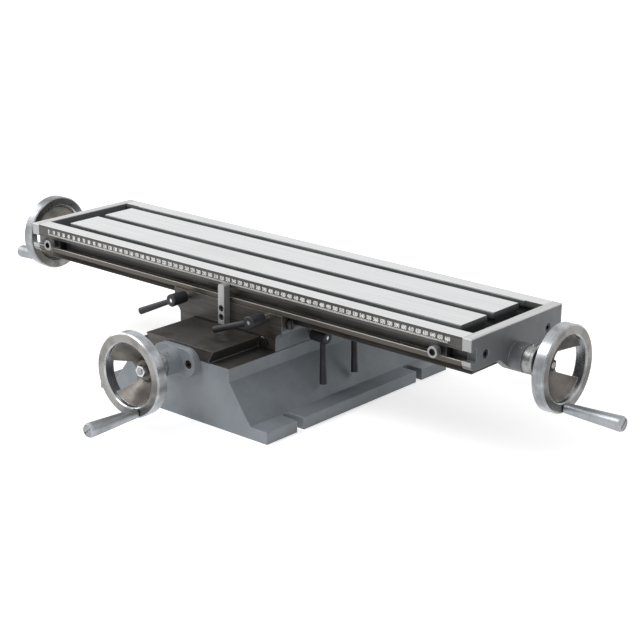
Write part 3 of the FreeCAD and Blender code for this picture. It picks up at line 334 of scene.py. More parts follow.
def enamel_layers(wiring, paint, worn_and_highlit_edge_tint):
    """Colour, roughness and height of sprayed enamel over a casting."""
    edges = wiring.group(worn_and_highlit_edges_group(), Radius=0.0018, Breakup=0.4)
    skin = wiring.group(casting_skin_group(), Fineness=620.0, Patch_Size=16.0)
    patches = wiring.ramp(skin["Patches"], 0.3, 0.7, 0.82, 1.08)
    tinted = wiring.blend(1.0, paint, patches, "MULTIPLY")
    # Edges lightened towards the edge tint, partly as worn paint and partly as a painted highlight.
    base = wiring.blend(wiring.math("MULTIPLY", edges["Edge"], 0.8), tinted, worn_and_highlit_edge_tint)
    roughness = wiring.ramp(skin["Patches"], 0.3, 0.7, 0.47, 0.36)
    normal = bumped(wiring, skin["Height"], 0.22, 0.0004, edges["Normal"])
    return base, roughness, normal


def iron_layers(wiring, iron, oil):
    """Colour, roughness and height of scraped iron under old oil."""
    edges = wiring.group(worn_and_highlit_edges_group(), Radius=0.0009, Breakup=0.4)
    lines = wiring.group(machined_lines_group(), Stretch=(14.0, 700.0, 700.0))
    film = wiring.group(oil_film_group(), Size=34.0)
    stained = wiring.blend(wiring.math("MULTIPLY", film["Film"], 0.75), iron, oil)
    streaked = wiring.blend(wiring.ramp(lines["Lines"], 0.4, 0.75, 0.0, 0.22), stained, grey(0.20))
    # Edges lightened, partly as rubbed iron and partly as a painted highlight.
    rubbed_and_highlit_edge = grey(0.30, (1.0, 0.97, 0.92))
    base = wiring.blend(wiring.math("MULTIPLY", edges["Edge"], 0.6), streaked, rubbed_and_highlit_edge)
    roughness = wiring.ramp(film["Film"], 0.0, 1.0, 0.46, 0.28)
    normal = bumped(wiring, lines["Lines"], 0.12, 0.0002, edges["Normal"])
    return base, roughness, normal


def base_finish(look):
    material, wiring, shader = new_finish("enamelled base with bare ways")
    axes = object_axes(wiring)
    worn_and_highlit_edge_tint = grey(0.48, (0.96, 1.0, 1.03))
    paint, rough_paint, paint_normal = enamel_layers(wiring, colour(look.base_paint), worn_and_highlit_edge_tint)
    iron, rough_iron, iron_normal = iron_layers(wiring, colour(look.dark_iron), colour(look.oil_stain))
    ways = above(wiring, axes["Z"], WAY_HEIGHT - 0.0004)
    wiring.feed(shader.inputs["Base Color"], wiring.blend(ways, paint, iron))
    wiring.feed(shader.inputs["Roughness"], wiring.between(ways, rough_paint, rough_iron))
    wiring.feed(shader.inputs["Normal"], wiring.blend(ways, paint_normal, iron_normal))
    wiring.feed(shader.inputs["Metallic"], wiring.math("MULTIPLY", ways, 0.45))
    shader.inputs["Coat Weight"].default_value = 0.12
    shader.inputs["Coat Roughness"].default_value = 0.22
    return material


def bracket_finish(name, paint):
    material, wiring, shader = new_finish(name)
    base, roughness, normal = enamel_layers(wiring, colour(paint), grey(0.46, (0.97, 1.0, 1.02)))
    wiring.feed(shader.inputs["Base Color"], base)
    wiring.feed(shader.inputs["Roughness"], roughness)
    wiring.feed(shader.inputs["Normal"], normal)
    shader.inputs["Coat Weight"].default_value = 0.12
    shader.inputs["Coat Roughness"].default_value = 0.22
    return material


def end_bracket_finish(look):
    """Enamel with the top and front faces ground back to bare iron."""
    material, wiring, shader = new_finish("enamelled end bracket with ground faces")
    axes = object_axes(wiring)
    worn_and_highlit_edge_tint = grey(0.44, (0.97, 1.0, 1.02))
    paint, rough_paint, paint_normal = enamel_layers(wiring, colour(look.bracket_paint), worn_and_highlit_edge_tint)
    lines = wiring.group(machined_lines_group(), Stretch=(900.0, 12.0, 900.0))
    ground = wiring.blend(wiring.ramp(lines["Lines"], 0.35, 0.7), grey(0.52), grey(0.68))
    top = above(wiring, axes["Z"], TABLE_HIGH.z - 0.0012)
    front = below(wiring, axes["Y"], TABLE_LOW.y + 0.0006)
    bare = wiring.math("MAXIMUM", top, wiring.math("MULTIPLY", front, 0.55))
    wiring.feed(shader.inputs["Base Color"], wiring.blend(bare, paint, ground))
    wiring.feed(shader.inputs["Roughness"], wiring.between(bare, rough_paint, 0.34))
    wiring.feed(shader.inputs["Metallic"], wiring.math("MULTIPLY", bare, 0.55))
    wiring.feed(shader.inputs["Normal"], paint_normal)
    return material


def saddle_finish(look):
    """Bare dark iron above and in front, enamel on the skirts."""
    material, wiring, shader = new_finish("saddle iron with enamelled skirts")
    axes = object_axes(wiring)
    worn_and_highlit_edge_tint = grey(0.46, (0.97, 1.0, 1.03))
    paint, rough_paint, paint_normal = enamel_layers(wiring, colour(look.saddle_paint), worn_and_highlit_edge_tint)
    iron, rough_iron, iron_normal = iron_layers(wiring, colour(look.dark_iron), colour(look.oil_stain))
    side = above(wiring, wiring.math("ABSOLUTE", axes["X"]), SADDLE_LEG_SIDE - 0.0005)
    low = below(wiring, axes["Z"], BLOCK_BOTTOM + 0.004)
    skirt = both(wiring, both(wiring, side, low), above(wiring, axes["Y"], SADDLE_FRONT + 0.0004))
    wiring.feed(shader.inputs["Base Color"], wiring.blend(skirt, iron, paint))
    wiring.feed(shader.inputs["Roughness"], wiring.between(skirt, rough_iron, rough_paint))
    wiring.feed(shader.inputs["Normal"], wiring.blend(skirt, iron_normal, paint_normal))
    wiring.feed(shader.inputs["Metallic"], wiring.between(skirt, 0.4, 0.0))
    return material


def table_finish(look):
    """Bright ground top, machined slot walls with painted shade deep in the slots, dark oiled sides and a painted
    highlight line along the front lip.
    """
    material, wiring, shader = new_finish("ground table iron")
    axes = object_axes(wiring)
    iron, rough_iron, iron_normal = iron_layers(wiring, colour(look.dark_iron), colour(look.oil_stain))
    lines = wiring.group(machined_lines_group(), Stretch=(8.0, 1100.0, 300.0))
    skin = wiring.group(casting_skin_group(), Fineness=260.0, Patch_Size=9.0)
    fresh = wiring.blend(wiring.ramp(lines["Lines"], 0.35, 0.75), colour(look.ground_iron), grey(0.66))
    cloudy = wiring.ramp(skin["Patches"], 0.45, 0.7, 0.0, 0.3)
    fresh = wiring.blend(cloudy, fresh, grey(0.60, (0.98, 1.0, 1.0)))
    wall_tint = (0.95, 1.0, 1.0)
    wall = wiring.blend(wiring.ramp(lines["Lines"], 0.4, 0.7), grey(0.17, wall_tint), grey(0.27, wall_tint))
    top = above(wiring, axes["Z"], TABLE_HIGH.z - 0.00005)
    behind_strip = above(wiring, axes["Y"], TABLE_LOW.y + 0.0005)
    inner = both(wiring, behind_strip, above(wiring, axes["Z"], BELOW_SLOTS))
    # Painted shade: the slot walls darken to near black below the throat, deep in the T-slots.
    shade = wiring.ramp(axes["Z"], THROAT_BOTTOM, THROAT_BOTTOM + 0.006)
    painted_recess_shade = wiring.blend(shade, grey(0.055, wall_tint), wall)
    front = below(wiring, axes["Y"], TABLE_LOW.y + 0.0006)
    lip_foot = LIP_TOP - LIP_HIGHLIGHT_WIDTH
    low = both(wiring, front, below(wiring, axes["Z"], lip_foot))
    oiled = wiring.blend(wiring.math("MULTIPLY", low, 0.6), iron, colour(look.oil_tint))
    # Painted highlight: a thin light line along the top edge of the lower lip on the front, broken up by patches.
    lip = both(wiring, below(wiring, axes["Z"], LIP_TOP), above(wiring, axes["Z"], lip_foot))
    lip_highlight = both(wiring, both(wiring, front, lip), wiring.ramp(skin["Patches"], 0.3, 0.5, 0.45, 0.95))
    iron = wiring.blend(lip_highlight, oiled, grey(0.46, (1.0, 0.99, 0.96)))
    side = wiring.blend(inner, iron, painted_recess_shade)
    wiring.feed(shader.inputs["Base Color"], wiring.blend(top, side, fresh))
    rough_top = wiring.ramp(lines["Lines"], 0.3, 0.7, 0.30, 0.42)
    wiring.feed(shader.inputs["Roughness"], wiring.between(top, rough_iron, rough_top))
    wiring.feed(shader.inputs["Metallic"], wiring.between(top, 0.4, 0.55))
    wiring.feed(shader.inputs["Normal"], iron_normal)
    return material


def steel_finish(name, tone, roughness, metallic=1.0, edge=0.5, mottle=0.12):
    """Turned, ground or blackened steel with edges lightened, partly as wear and partly as a painted highlight."""
    material, wiring, shader = new_finish(name)
    edges = wiring.group(worn_and_highlit_edges_group(), Radius=0.0005, Breakup=0.3)
    skin = wiring.group(casting_skin_group(), Fineness=1500.0, Patch_Size=60.0)
    shade = wiring.ramp(skin["Patches"], 0.3, 0.7, 1.0 - mottle, 1.0 + mottle)
    tinted = wiring.blend(1.0, colour(tone), shade, "MULTIPLY")
    # Edges lightened, partly as wear and partly as a painted highlight.
    rubbed_and_highlit_edge = grey(min(1.0, tone[1] * 2.2 + 0.12))
    lifted = wiring.blend(wiring.math("MULTIPLY", edges["Edge"], edge), tinted, rubbed_and_highlit_edge)
    wiring.feed(shader.inputs["Base Color"], lifted)
    worn = wiring.ramp(skin["Patches"], 0.3, 0.7, roughness + 0.06, roughness - 0.05)
    wiring.feed(shader.inputs["Roughness"], worn)
    shader.inputs["Metallic"].default_value = metallic
    wiring.feed(shader.inputs["Normal"], bumped(wiring, skin["Height"], 0.06, 0.0002, edges["Normal"]))
    return material


def turned_finish(name, tone, centre, along, roughness, strength=0.25, face_and_shade_tone=None, patch_and_reflection_depth=0.16):
    """Turned metal with the rings of a lathe round one axis, patches of painted reflection, and, where a face tone
    is given, faces square to the axis darker, partly a duller faced finish and partly painted shade.
    """
    material, wiring, shader = new_finish(name)
    across = tuple(0.0 if part else 1.0 for part in along)
    edges = wiring.group(worn_and_highlit_edges_group(), Radius=0.0009, Breakup=0.2)
    rings = wiring.group(lathe_rings_group(), Centre=centre, Across=across, Along=along)
    light = wiring.ramp(rings["Rings"], 0.3, 0.7, 0.86, 1.08)
    # Slow lighter and darker patches: on the handwheels they are deep and stand in as painted reflection.
    patches_and_reflection = wiring.ramp(rings["Shades"], 0.36, 0.62, 1.0 - patch_and_reflection_depth, 1.05)
    metal = colour(tone)
    matt = 0.0
    if face_and_shade_tone:
        # Faces square to the axis take a darker tone, partly a duller faced finish and partly painted shade
        # standing in for darker reflections.
        flat_normal = wiring.add("ShaderNodeNewGeometry").outputs["True Normal"]
        square = wiring.ramp(wiring.math("ABSOLUTE", wiring.dot(flat_normal, along)), 0.72, 0.96)
        metal = wiring.blend(square, metal, colour(face_and_shade_tone))
        radius = rings["Radius"]
        web = both(wiring, below(wiring, radius, WHEEL_RIM_INSIDE), above(wiring, radius, WHEEL_NUT))
        metal = wiring.blend(web, metal, colour(WEB_TONE))
        matt = wiring.math("MULTIPLY", web, WEB_MATT)
    tinted = wiring.blend(1.0, metal, wiring.math("MULTIPLY", light, patches_and_reflection), "MULTIPLY")
    # Edges lightened, partly as wear and partly as a painted highlight.
    lifted = wiring.blend(wiring.math("MULTIPLY", edges["Edge"], 0.35), tinted, grey(0.85))
    wiring.feed(shader.inputs["Base Color"], lifted)
    worn = wiring.ramp(rings["Shades"], 0.3, 0.7, roughness + 0.08, roughness - 0.05)
    wiring.feed(shader.inputs["Roughness"], wiring.math("ADD", worn, matt))
    shader.inputs["Metallic"].default_value = 1.0
    wiring.feed(shader.inputs["Normal"], bumped(wiring, rings["Rings"], strength, 0.0002, edges["Normal"]))
    return material


def socket_finish(name, tone, centre, radius):
    """Satin steel round a hexagon socket recessed along Y, with the socket painted near black as painted shade."""
    material, wiring, shader = new_finish(name)
    edges = wiring.group(worn_and_highlit_edges_group(), Radius=0.0005, Breakup=0.3)
    rings = wiring.group(lathe_rings_group(), Centre=centre, Across=(1.0, 0.0, 1.0), Along=(0.0, 1.0, 0.0))
    light = wiring.ramp(rings["Rings"], 0.3, 0.7, 0.86, 1.08)
    metal = wiring.blend(1.0, colour(tone), light, "MULTIPLY")
    # Edges lightened, partly as wear and partly as a painted highlight.
    metal = wiring.blend(wiring.math("MULTIPLY", edges["Edge"], 0.5), metal, grey(0.75))
    # Painted shade: the socket is painted near black.
    painted_recess_shade = below(wiring, rings["Radius"], radius)
    wiring.feed(shader.inputs["Base Color"], wiring.blend(painted_recess_shade, metal, grey(0.03)))
    wiring.feed(shader.inputs["Roughness"], wiring.between(painted_recess_shade, 0.34, 0.55))
    wiring.feed(shader.inputs["Metallic"], wiring.between(painted_recess_shade, 0.9, 0.2))
    wiring.feed(shader.inputs["Normal"], edges["Normal"])
    return material


def flat_mark_finish(name, tone):
    """Fill of an engraved mark, faintly mottled."""
    material, wiring, shader = new_finish(name)
    skin = wiring.group(casting_skin_group(), Fineness=2600.0, Patch_Size=220.0)
    shade = wiring.ramp(skin["Patches"], 0.3, 0.7, 0.8, 1.0)
    wiring.feed(shader.inputs["Base Color"], wiring.blend(1.0, colour(tone), shade, "MULTIPLY"))
    shader.inputs["Roughness"].default_value = 0.55
    return material


# Meshes


def linked(name, data):
    """A new object in the scene."""
    made = bpy.data.objects.new(name, data)
    bpy.context.scene.collection.objects.link(made)
    return made


def kept_mesh(name, joined):
    """Ends the work on a mesh and keeps it."""
    mesh = bpy.data.meshes.new(name)
    joined.to_mesh(mesh)
    joined.free()
    return mesh


def new_piece(name, mesh, body, material):
    piece = linked(name, mesh)
    wear(piece, material)
    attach(piece, body)
    return piece


def tree_mesh(name, tree, values, material):
    """Runs a geometry tree on an empty mesh and keeps its result as a plain mesh."""
    carrier = linked(name + " carrier", bpy.data.meshes.new(name + " carrier"))
    modifier = carrier.modifiers.new("Maker", "NODES")
    modifier.node_group = tree
    sockets = {item.name: item.identifier for item in tree.interface.items_tree if item.in_out == "INPUT"}
    for label, value in values.items():
        modifier[sockets[label]] = value
    modifier[sockets["Finish"]] = material
    bpy.context.view_layer.update()
    graph = bpy.context.evaluated_depsgraph_get()
    mesh = bpy.data.meshes.new_from_object(carrier.evaluated_get(graph))
    carrier.modifiers.clear()
    bpy.data.objects.remove(carrier)
    mesh.name = name
    return mesh


def text_mesh(words, height, spots, boldness=0.0):
    """One mesh of short words, each with its own place and turn."""
    joined = bmesh.new()
    for word, matrix in zip(words, spots):
        curve = bpy.data.curves.new("mark", "FONT")
        curve.body = word
        curve.size = height * DIGIT_TO_FONT_SIZE
        curve.align_x = "CENTER"
        curve.align_y = "CENTER"
        curve.extrude = NUMBER_RELIEF
        curve.offset = boldness
        curve.resolution_u = 3
        carrier = linked("mark", curve)
        bpy.context.view_layer.update()
        mesh = bpy.data.meshes.new_from_object(carrier.evaluated_get(bpy.context.evaluated_depsgraph_get()))
        mesh.transform(matrix)
        joined.from_mesh(mesh)
        bpy.data.objects.remove(carrier)
        bpy.data.curves.remove(curve)
        bpy.data.meshes.remove(mesh)
    return kept_mesh("marks", joined)


def merged(name, meshes):
    joined = bmesh.new()
    for mesh in meshes:
        joined.from_mesh(mesh)
    return kept_mesh(name, joined)


def threaded_mesh(name, node, centre, axis, lead):
    """The screw with its plain zone turned down to the core and a trapezoidal thread wound round it."""
    joined = bmesh.new()
    joined.from_mesh(node.data)
    places = []
    for vertex in joined.verts:
        offset = vertex.co - centre
        along = offset.dot(axis)
        across = offset - axis * along
        if across.length > THREAD_CORE + THREAD_SEAT:
            places.append(along)
            vertex.co = centre + axis * along + across.normalized() * THREAD_CORE
    low, high = min(places), max(places)
    side = Vector((0.0, 0.0, 1.0))
    other = axis.cross(side)
    last_row = None
    corners = len(THREAD_PROFILE)
    for step in range((int((high - low) / lead) - 1) * THREAD_FACETS + 1):
        angle = 2 * math.pi * step / THREAD_FACETS
        outward = side * math.cos(angle) + other * math.sin(angle)
        row = []
        for share, radius in THREAD_PROFILE:
            along = low + lead * (step / THREAD_FACETS + share)
            row.append(joined.verts.new(centre + axis * along + outward * radius))
        if last_row is None:
            joined.faces.new(row)
        else:
            for corner in range(corners):
                after = (corner + 1) % corners
                joined.faces.new((last_row[corner], last_row[after], row[after], row[corner]))
        last_row = row
    joined.faces.new(last_row)
    bmesh.ops.recalc_face_normals(joined, faces=joined.faces)
    for face in joined.faces:
        face.smooth = True
    mesh = kept_mesh(name, joined)
    mesh.set_sharp_from_angle(angle=math.radians(35))
    return mesh


# Geometry trees


def mark_inputs(*own):
    """Sockets that every tree of marks has, and its own."""
    return [
        ("Count", "NodeSocketInt", 61),
        ("Line", "NodeSocketFloat", 0.0003),
        ("Short", "NodeSocketFloat", 0.002),
        ("Middle", "NodeSocketFloat", 0.003),
        ("Long", "NodeSocketFloat", 0.004),
        ("Relief", "NodeSocketFloat", 0.0001),
        *own,
        ("Finish", "NodeSocketMaterial", None),
    ]


def mark_length(wiring, index, entry):
    """Every fifth mark is longer, every tenth the longest."""
    length = entry["Short"]
    for divisor, label in ((5, "Middle"), (10, "Long")):
        rest = wiring.placed("FunctionNodeIntegerMath", {0: index, 1: divisor}, operation="MODULO").outputs[0]
        chosen = wiring.placed("FunctionNodeCompare", {2: rest, 3: 0}, data_type="INT", operation="EQUAL")
        sources = {0: chosen.outputs[0], 1: length, 2: entry[label]}
        length = wiring.placed("GeometryNodeSwitch", sources, input_type="FLOAT").outputs[0]
    return length


def bars(wiring, entry, spot, size, turn=(0.0, 0.0, 0.0)):
    """One small box on each point, as real geometry with its finish."""
    points = wiring.placed("GeometryNodePoints", {"Count": entry["Count"], "Position": spot}).outputs[0]
    cube = wiring.placed("GeometryNodeMeshCube", {"Size": (1.0, 1.0, 1.0)}).outputs[0]
    sources = {"Points": points, "Instance": cube, "Rotation": turn, "Scale": size}
    rows = wiring.placed("GeometryNodeInstanceOnPoints", sources).outputs[0]
    real = wiring.placed("GeometryNodeRealizeInstances", {0: rows}).outputs[0]
    sources = {"Geometry": real, "Material": entry["Finish"]}
    return wiring.placed("GeometryNodeSetMaterial", sources).outputs[0]


def scale_row_tree():
    """A straight row of graduations along X."""
    known = bpy.data.node_groups.get("scale_row")
    if known:
        return known
    inputs = mark_inputs(("Pitch", "NodeSocketFloat", 0.01), ("Place", "NodeSocketVector", (0.0, 0.0, 0.0)))
    tree, wiring, entry, result = new_group(
        "scale_row", inputs, [("Geometry", "NodeSocketGeometry")], "GeometryNodeTree")
    index = wiring.add("GeometryNodeInputIndex").outputs[0]
    length = mark_length(wiring, index, entry)
    span = wiring.math("MULTIPLY", entry["Pitch"], wiring.math("SUBTRACT", entry["Count"], 1.0))
    left = wiring.math("MULTIPLY", span, -0.5)
    along = wiring.math("ADD", left, wiring.math("MULTIPLY", index, entry["Pitch"]))
    rise = wiring.math("MULTIPLY", length, 0.5)
    spot = wiring.vector("ADD", wiring.combined(along, z=rise), entry["Place"])
    size = wiring.combined(entry["Line"], entry["Relief"], length)
    wiring.feed(result["Geometry"], bars(wiring, entry, spot, size))
    return tree


def ring_tree():
    """Small bars round a cylinder along X: graduations, or the ridges of a knurl."""
    known = bpy.data.node_groups.get("ring_of_bars")
    if known:
        return known
    inputs = mark_inputs(("Radius", "NodeSocketFloat", 0.017), ("Start", "NodeSocketFloat", 0.0))
    tree, wiring, entry, result = new_group(
        "ring_of_bars", inputs, [("Geometry", "NodeSocketGeometry")], "GeometryNodeTree")
    index = wiring.add("GeometryNodeInputIndex").outputs[0]
    length = mark_length(wiring, index, entry)
    angle = wiring.math("MULTIPLY", wiring.math("DIVIDE", index, entry["Count"]), 2 * math.pi)
    aside = wiring.math("MULTIPLY", wiring.math("SINE", angle), entry["Radius"])
    up = wiring.math("MULTIPLY", wiring.math("COSINE", angle), entry["Radius"])
    along = wiring.math("ADD", entry["Start"], wiring.math("MULTIPLY", length, 0.5))
    spot = wiring.combined(along, aside, up)
    size = wiring.combined(length, entry["Line"], entry["Relief"])
    turn = wiring.combined(wiring.math("MULTIPLY", angle, -1.0))
    wiring.feed(result["Geometry"], bars(wiring, entry, spot, size, turn))
    return tree


# Settings that a user would change


class CrossSlideLook(bpy.types.PropertyGroup):
    """Colours of the finishes."""

    base_paint: bpy.props.FloatVectorProperty(
        name="Base enamel", description="Enamel of the base and its front bracket", subtype="COLOR",
        default=(0.232, 0.258, 0.285), min=0.0, max=1.0)
    bracket_paint: bpy.props.FloatVectorProperty(
        name="End bracket enamel", description="Enamel of the table's end brackets", subtype="COLOR",
        default=(0.158, 0.170, 0.180), min=0.0, max=1.0)
    saddle_paint: bpy.props.FloatVectorProperty(
        name="Saddle enamel", description="Enamel on the skirts of the saddle", subtype="COLOR",
        default=(0.190, 0.208, 0.230), min=0.0, max=1.0)
    dark_iron: bpy.props.FloatVectorProperty(
        name="Bare iron", description="Scraped iron of the saddle, ways and table sides", subtype="COLOR",
        default=(0.056, 0.053, 0.049), min=0.0, max=1.0)
    oil_stain: bpy.props.FloatVectorProperty(
        name="Oil stain", description="Old oil on the bare iron", subtype="COLOR",
        default=(0.046, 0.037, 0.029), min=0.0, max=1.0)
    oil_tint: bpy.props.FloatVectorProperty(
        name="Oil tint", description="Brown tint of old oil low on the table's front", subtype="COLOR",
        default=(0.100, 0.081, 0.063), min=0.0, max=1.0)
    ground_iron: bpy.props.FloatVectorProperty(
        name="Ground top", description="Freshly ground table top", subtype="COLOR",
        default=(0.78, 0.79, 0.80), min=0.0, max=1.0)
    polished: bpy.props.FloatVectorProperty(
        name="Polished wheels", description="Turned and polished handwheels", subtype="COLOR",
        default=(0.45, 0.465, 0.485), min=0.0, max=1.0)
    bright_steel: bpy.props.FloatVectorProperty(
        name="Bright steel", description="Inner screws, studs and the front wheel nut", subtype="COLOR",
        default=(0.56, 0.56, 0.57), min=0.0, max=1.0)
    black_steel: bpy.props.FloatVectorProperty(
        name="Black steel", description="Blackened screws, nuts and spacers", subtype="COLOR",
        default=(0.035, 0.035, 0.038), min=0.0, max=1.0)
    lever_black: bpy.props.FloatVectorProperty(
        name="Lever enamel", description="Clamping levers", subtype="COLOR",
        default=(0.026, 0.027, 0.030), min=0.0, max=1.0)
    bronze: bpy.props.FloatVectorProperty(
        name="Bronze", description="Bushes and the nuts of the lead screws", subtype="COLOR",
        default=(0.52, 0.34, 0.17), min=0.0, max=1.0)


class CrossSlideMarks(bpy.types.PropertyGroup):
    """Sizes of the graduations and threads."""

    strip_length: bpy.props.FloatProperty(
        name="Strip reading", description="Length that the strip is graduated over", default=0.66,
        min=0.1, max=0.69, unit="LENGTH")
    strip_pitch: bpy.props.FloatProperty(
        name="Strip pitch", description="Between two graduations of the strip", default=0.001,
        min=0.0005, max=0.01, unit="LENGTH")
    dial_marks: bpy.props.IntProperty(
        name="Dial graduations", description="Graduations round each dial", default=80, min=20, max=200)
    lead: bpy.props.FloatProperty(
        name="Lead", description="Travel of a slide for one turn of its screw", default=0.004,
        min=0.001, max=0.01, unit="LENGTH")


class CrossSlideStudio(bpy.types.PropertyGroup):
    """Floor, lamps and camera."""

    floor_tone: bpy.props.FloatVectorProperty(
        name="Floor", description="Colour of the studio floor", subtype="COLOR",
        default=(0.93, 0.93, 0.93), min=0.0, max=1.0)
    fill: bpy.props.FloatProperty(
        name="Fill", description="Strength of the light from all round", default=0.55, min=0.0, max=2.0)
    key_power: bpy.props.FloatProperty(
        name="Key lamp", description="Power of the main soft lamp", default=34.0, min=0.0, max=500.0,
        unit="POWER")
    side_power: bpy.props.FloatProperty(
        name="Side lamp", description="Power of the soft lamp on the left", default=16.0, min=0.0, max=500.0,
        unit="POWER")
    focal_length: bpy.props.FloatProperty(
        name="Focal length", description="Lens of the camera in millimetres", default=92.062,
        min=20.0, max=300.0)


# Operators, one for each group of pieces


class CROSSSLIDE_OT_castings(bpy.types.Operator):
    """Finish the base, saddle, table and brackets"""

    bl_idname = "crossslide.castings"
    bl_label = "Castings"

    def execute(self, context):
        look = context.scene.cross_slide_look
        wear(NODES["base_casting"], base_finish(look))
        wear(NODES["y_screw_bracket"], bracket_finish("enamelled screw bracket", look.base_paint))
        wear(NODES["saddle_casting"], saddle_finish(look))
        wear(NODES["table_plate"], table_finish(look))
        ends = end_bracket_finish(look)
        for side in ("left", "right"):
            wear(NODES[f"end_bracket_{side}"], ends)
        return {"FINISHED"}


class CROSSSLIDE_OT_fasteners(bpy.types.Operator):
    """Finish the screws, studs, spindles, oilers, gibs, nuts, stops and bushes"""

    bl_idname = "crossslide.fasteners"
    bl_label = "Fasteners and inner pieces"

    def execute(self, context):
        look = context.scene.cross_slide_look
        bright = steel_finish("bright turned steel", look.bright_steel, roughness=0.26)
        black = steel_finish("blackened steel", look.black_steel, roughness=0.38, metallic=0.7, edge=0.35)
        ground = steel_finish("ground steel", (0.40, 0.405, 0.41), roughness=0.34, metallic=0.85, edge=0.4)
        bronze = steel_finish("turned bronze", look.bronze, roughness=0.32, edge=0.4)
        by_finish = {
            "black_steel": black,
            "bright_steel": bright,
            "ground_steel": ground,
            "bronze": bronze,
        }
        for row in frame["record"]["subparts"]:
            chosen = by_finish.get(row["material_slot"])
            if chosen:
                wear(NODES[row["node"]], chosen)
        light, grey_steel = (0.38, 0.385, 0.385), (0.27, 0.28, 0.295)
        block = steel_finish("light ground stop block", light, roughness=0.36, metallic=0.5)
        dull = steel_finish("dull turned steel", grey_steel, roughness=0.34, metallic=0.9, edge=0.4)
        for name in (
            "x_handle_spindle_left", "x_handle_spindle_right", "y_handle_spindle",
            "y_bracket_oiler", "bracket_oiler_left", "bracket_oiler_right",
        ):
            wear(NODES[name], dull)
        wear(NODES["stop_block"], block)
        for name in ("y_gib_screws", "stop_block_screws", "stop_nut_left", "stop_nut_right"):
            wear(NODES[name], black)
        for side in ("left", "right"):
            low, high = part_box(f"stop_screw_{side}")
            middle = ((low.x + high.x) / 2, 0.0, (low.z + high.z) / 2)
            satin = socket_finish(f"satin {side} stop", (0.30, 0.30, 0.295), middle, STOP_SOCKET_RADIUS)
            wear(NODES[f"stop_screw_{side}"], satin)
        return {"FINISHED"}


class CROSSSLIDE_OT_wheels(bpy.types.Operator):
    """Finish the handwheels, grips and dials"""

    bl_idname = "crossslide.wheels"
    bl_label = "Handwheels and dials"

    def execute(self, context):
        look = context.scene.cross_slide_look
        x_centre = (0.0, 0.0, X_SCREW_HEIGHT)
        y_centre = (0.0, 0.0, Y_SCREW_HEIGHT)
        # The wheels' tone for faces square to the axis: partly a duller faced finish, partly painted shade; their
        # deep patches are painted reflection.
        dull = (0.24, 0.232, 0.222)
        x_axis, y_axis = (1.0, 0.0, 0.0), (0.0, 1.0, 0.0)
        wheel = {"tone": look.polished, "roughness": 0.24, "face_and_shade_tone": dull, "patch_and_reflection_depth": 0.5}
        dial = {"tone": (0.34, 0.345, 0.345), "roughness": 0.34, "strength": 0.1}
        grip = {"tone": (0.34, 0.355, 0.375), "roughness": 0.44, "strength": 0.12}
        x_turned = turned_finish("polished wheel along the table", centre=x_centre, along=x_axis, **wheel)
        y_turned = turned_finish("polished wheel across the table", centre=y_centre, along=y_axis, **wheel)
        x_dial = turned_finish("satin dial along the table", centre=x_centre, along=x_axis, **dial)
        y_dial = turned_finish("satin dial across the table", centre=y_centre, along=y_axis, **dial)
        for side in ("left", "right"):
            wear(NODES[f"x_handwheel_{side}"], x_turned)
            wear(NODES[f"x_dial_{side}"], x_dial)
            centre = JOINTS[f"x_grip_{side}_spin"]["pos_m"]
            turned = turned_finish(f"polished {side} grip", centre=centre, along=x_axis, **grip)
            wear(NODES[f"x_handle_grip_{side}"], turned)
        wear(NODES["y_handwheel"], y_turned)
        wear(NODES["y_dial"], y_dial)
        centre = JOINTS["y_grip_spin"]["pos_m"]
        turned = turned_finish("polished front grip", centre=centre, along=y_axis, **grip)
        wear(NODES["y_handle_grip"], turned)
        return {"FINISHED"}


class CROSSSLIDE_OT_levers(bpy.types.Operator):
    """Finish the clamping levers"""

    bl_idname = "crossslide.levers"
    bl_label = "Clamping levers"

    def execute(self, context):
        look = context.scene.cross_slide_look
        enamel = steel_finish(
            "black lever enamel", look.lever_black, roughness=0.46, metallic=0.0, edge=0.3, mottle=0.25)
        enamel.node_tree.nodes["Principled BSDF"].inputs["Specular IOR Level"].default_value = 0.3
        for name in ("x_lock_lever_left", "x_lock_lever_right", "y_lock_lever_front", "y_lock_lever_back"):
            wear(NODES[name], enamel)
        return {"FINISHED"}


class CROSSSLIDE_OT_strip(bpy.types.Operator):
    """Add the graduated strip's lines and numbers"""

    bl_idname = "crossslide.strip"
    bl_label = "Graduated strip"

    def execute(self, context):
        marks = context.scene.cross_slide_marks
        low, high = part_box("scale_strip")
        dark = steel_finish("dark strip", (0.075, 0.073, 0.068), roughness=0.4, metallic=0.3, edge=0.3)
        wear(NODES["scale_strip"], dark)
        white = flat_mark_finish("white strip marks", (0.92, 0.92, 0.91))
        count = int(round(marks.strip_length / marks.strip_pitch)) + 1
        values = {
            "Count": count, "Pitch": marks.strip_pitch, "Line": 0.00050, "Short": 0.0018, "Middle": 0.0023,
            "Long": 0.0028, "Relief": 0.00008, "Place": (0.0, low.y, low.z + 0.0002),
        }
        lines = tree_mesh("strip lines", scale_row_tree(), values, white)
        words, spots = [], []
        narrowing, below_top = 0.72, 0.0028
        upright = Matrix.Rotation(math.radians(90), 4, "X") @ Matrix.Diagonal((narrowing, 1.0, 1.0, 1.0))
        for step in range(count // 10 + 1):
            place = -marks.strip_length / 2 + step * marks.strip_pitch * 10
            words.append(str(step * 10))
            spots.append(Matrix.Translation((place, low.y, high.z - below_top)) @ upright)
        numbers = text_mesh(words, 0.0047, spots, boldness=0.00028)
        new_piece("strip_marks", merged("strip_marks", [lines, numbers]), "table", white)
        return {"FINISHED"}


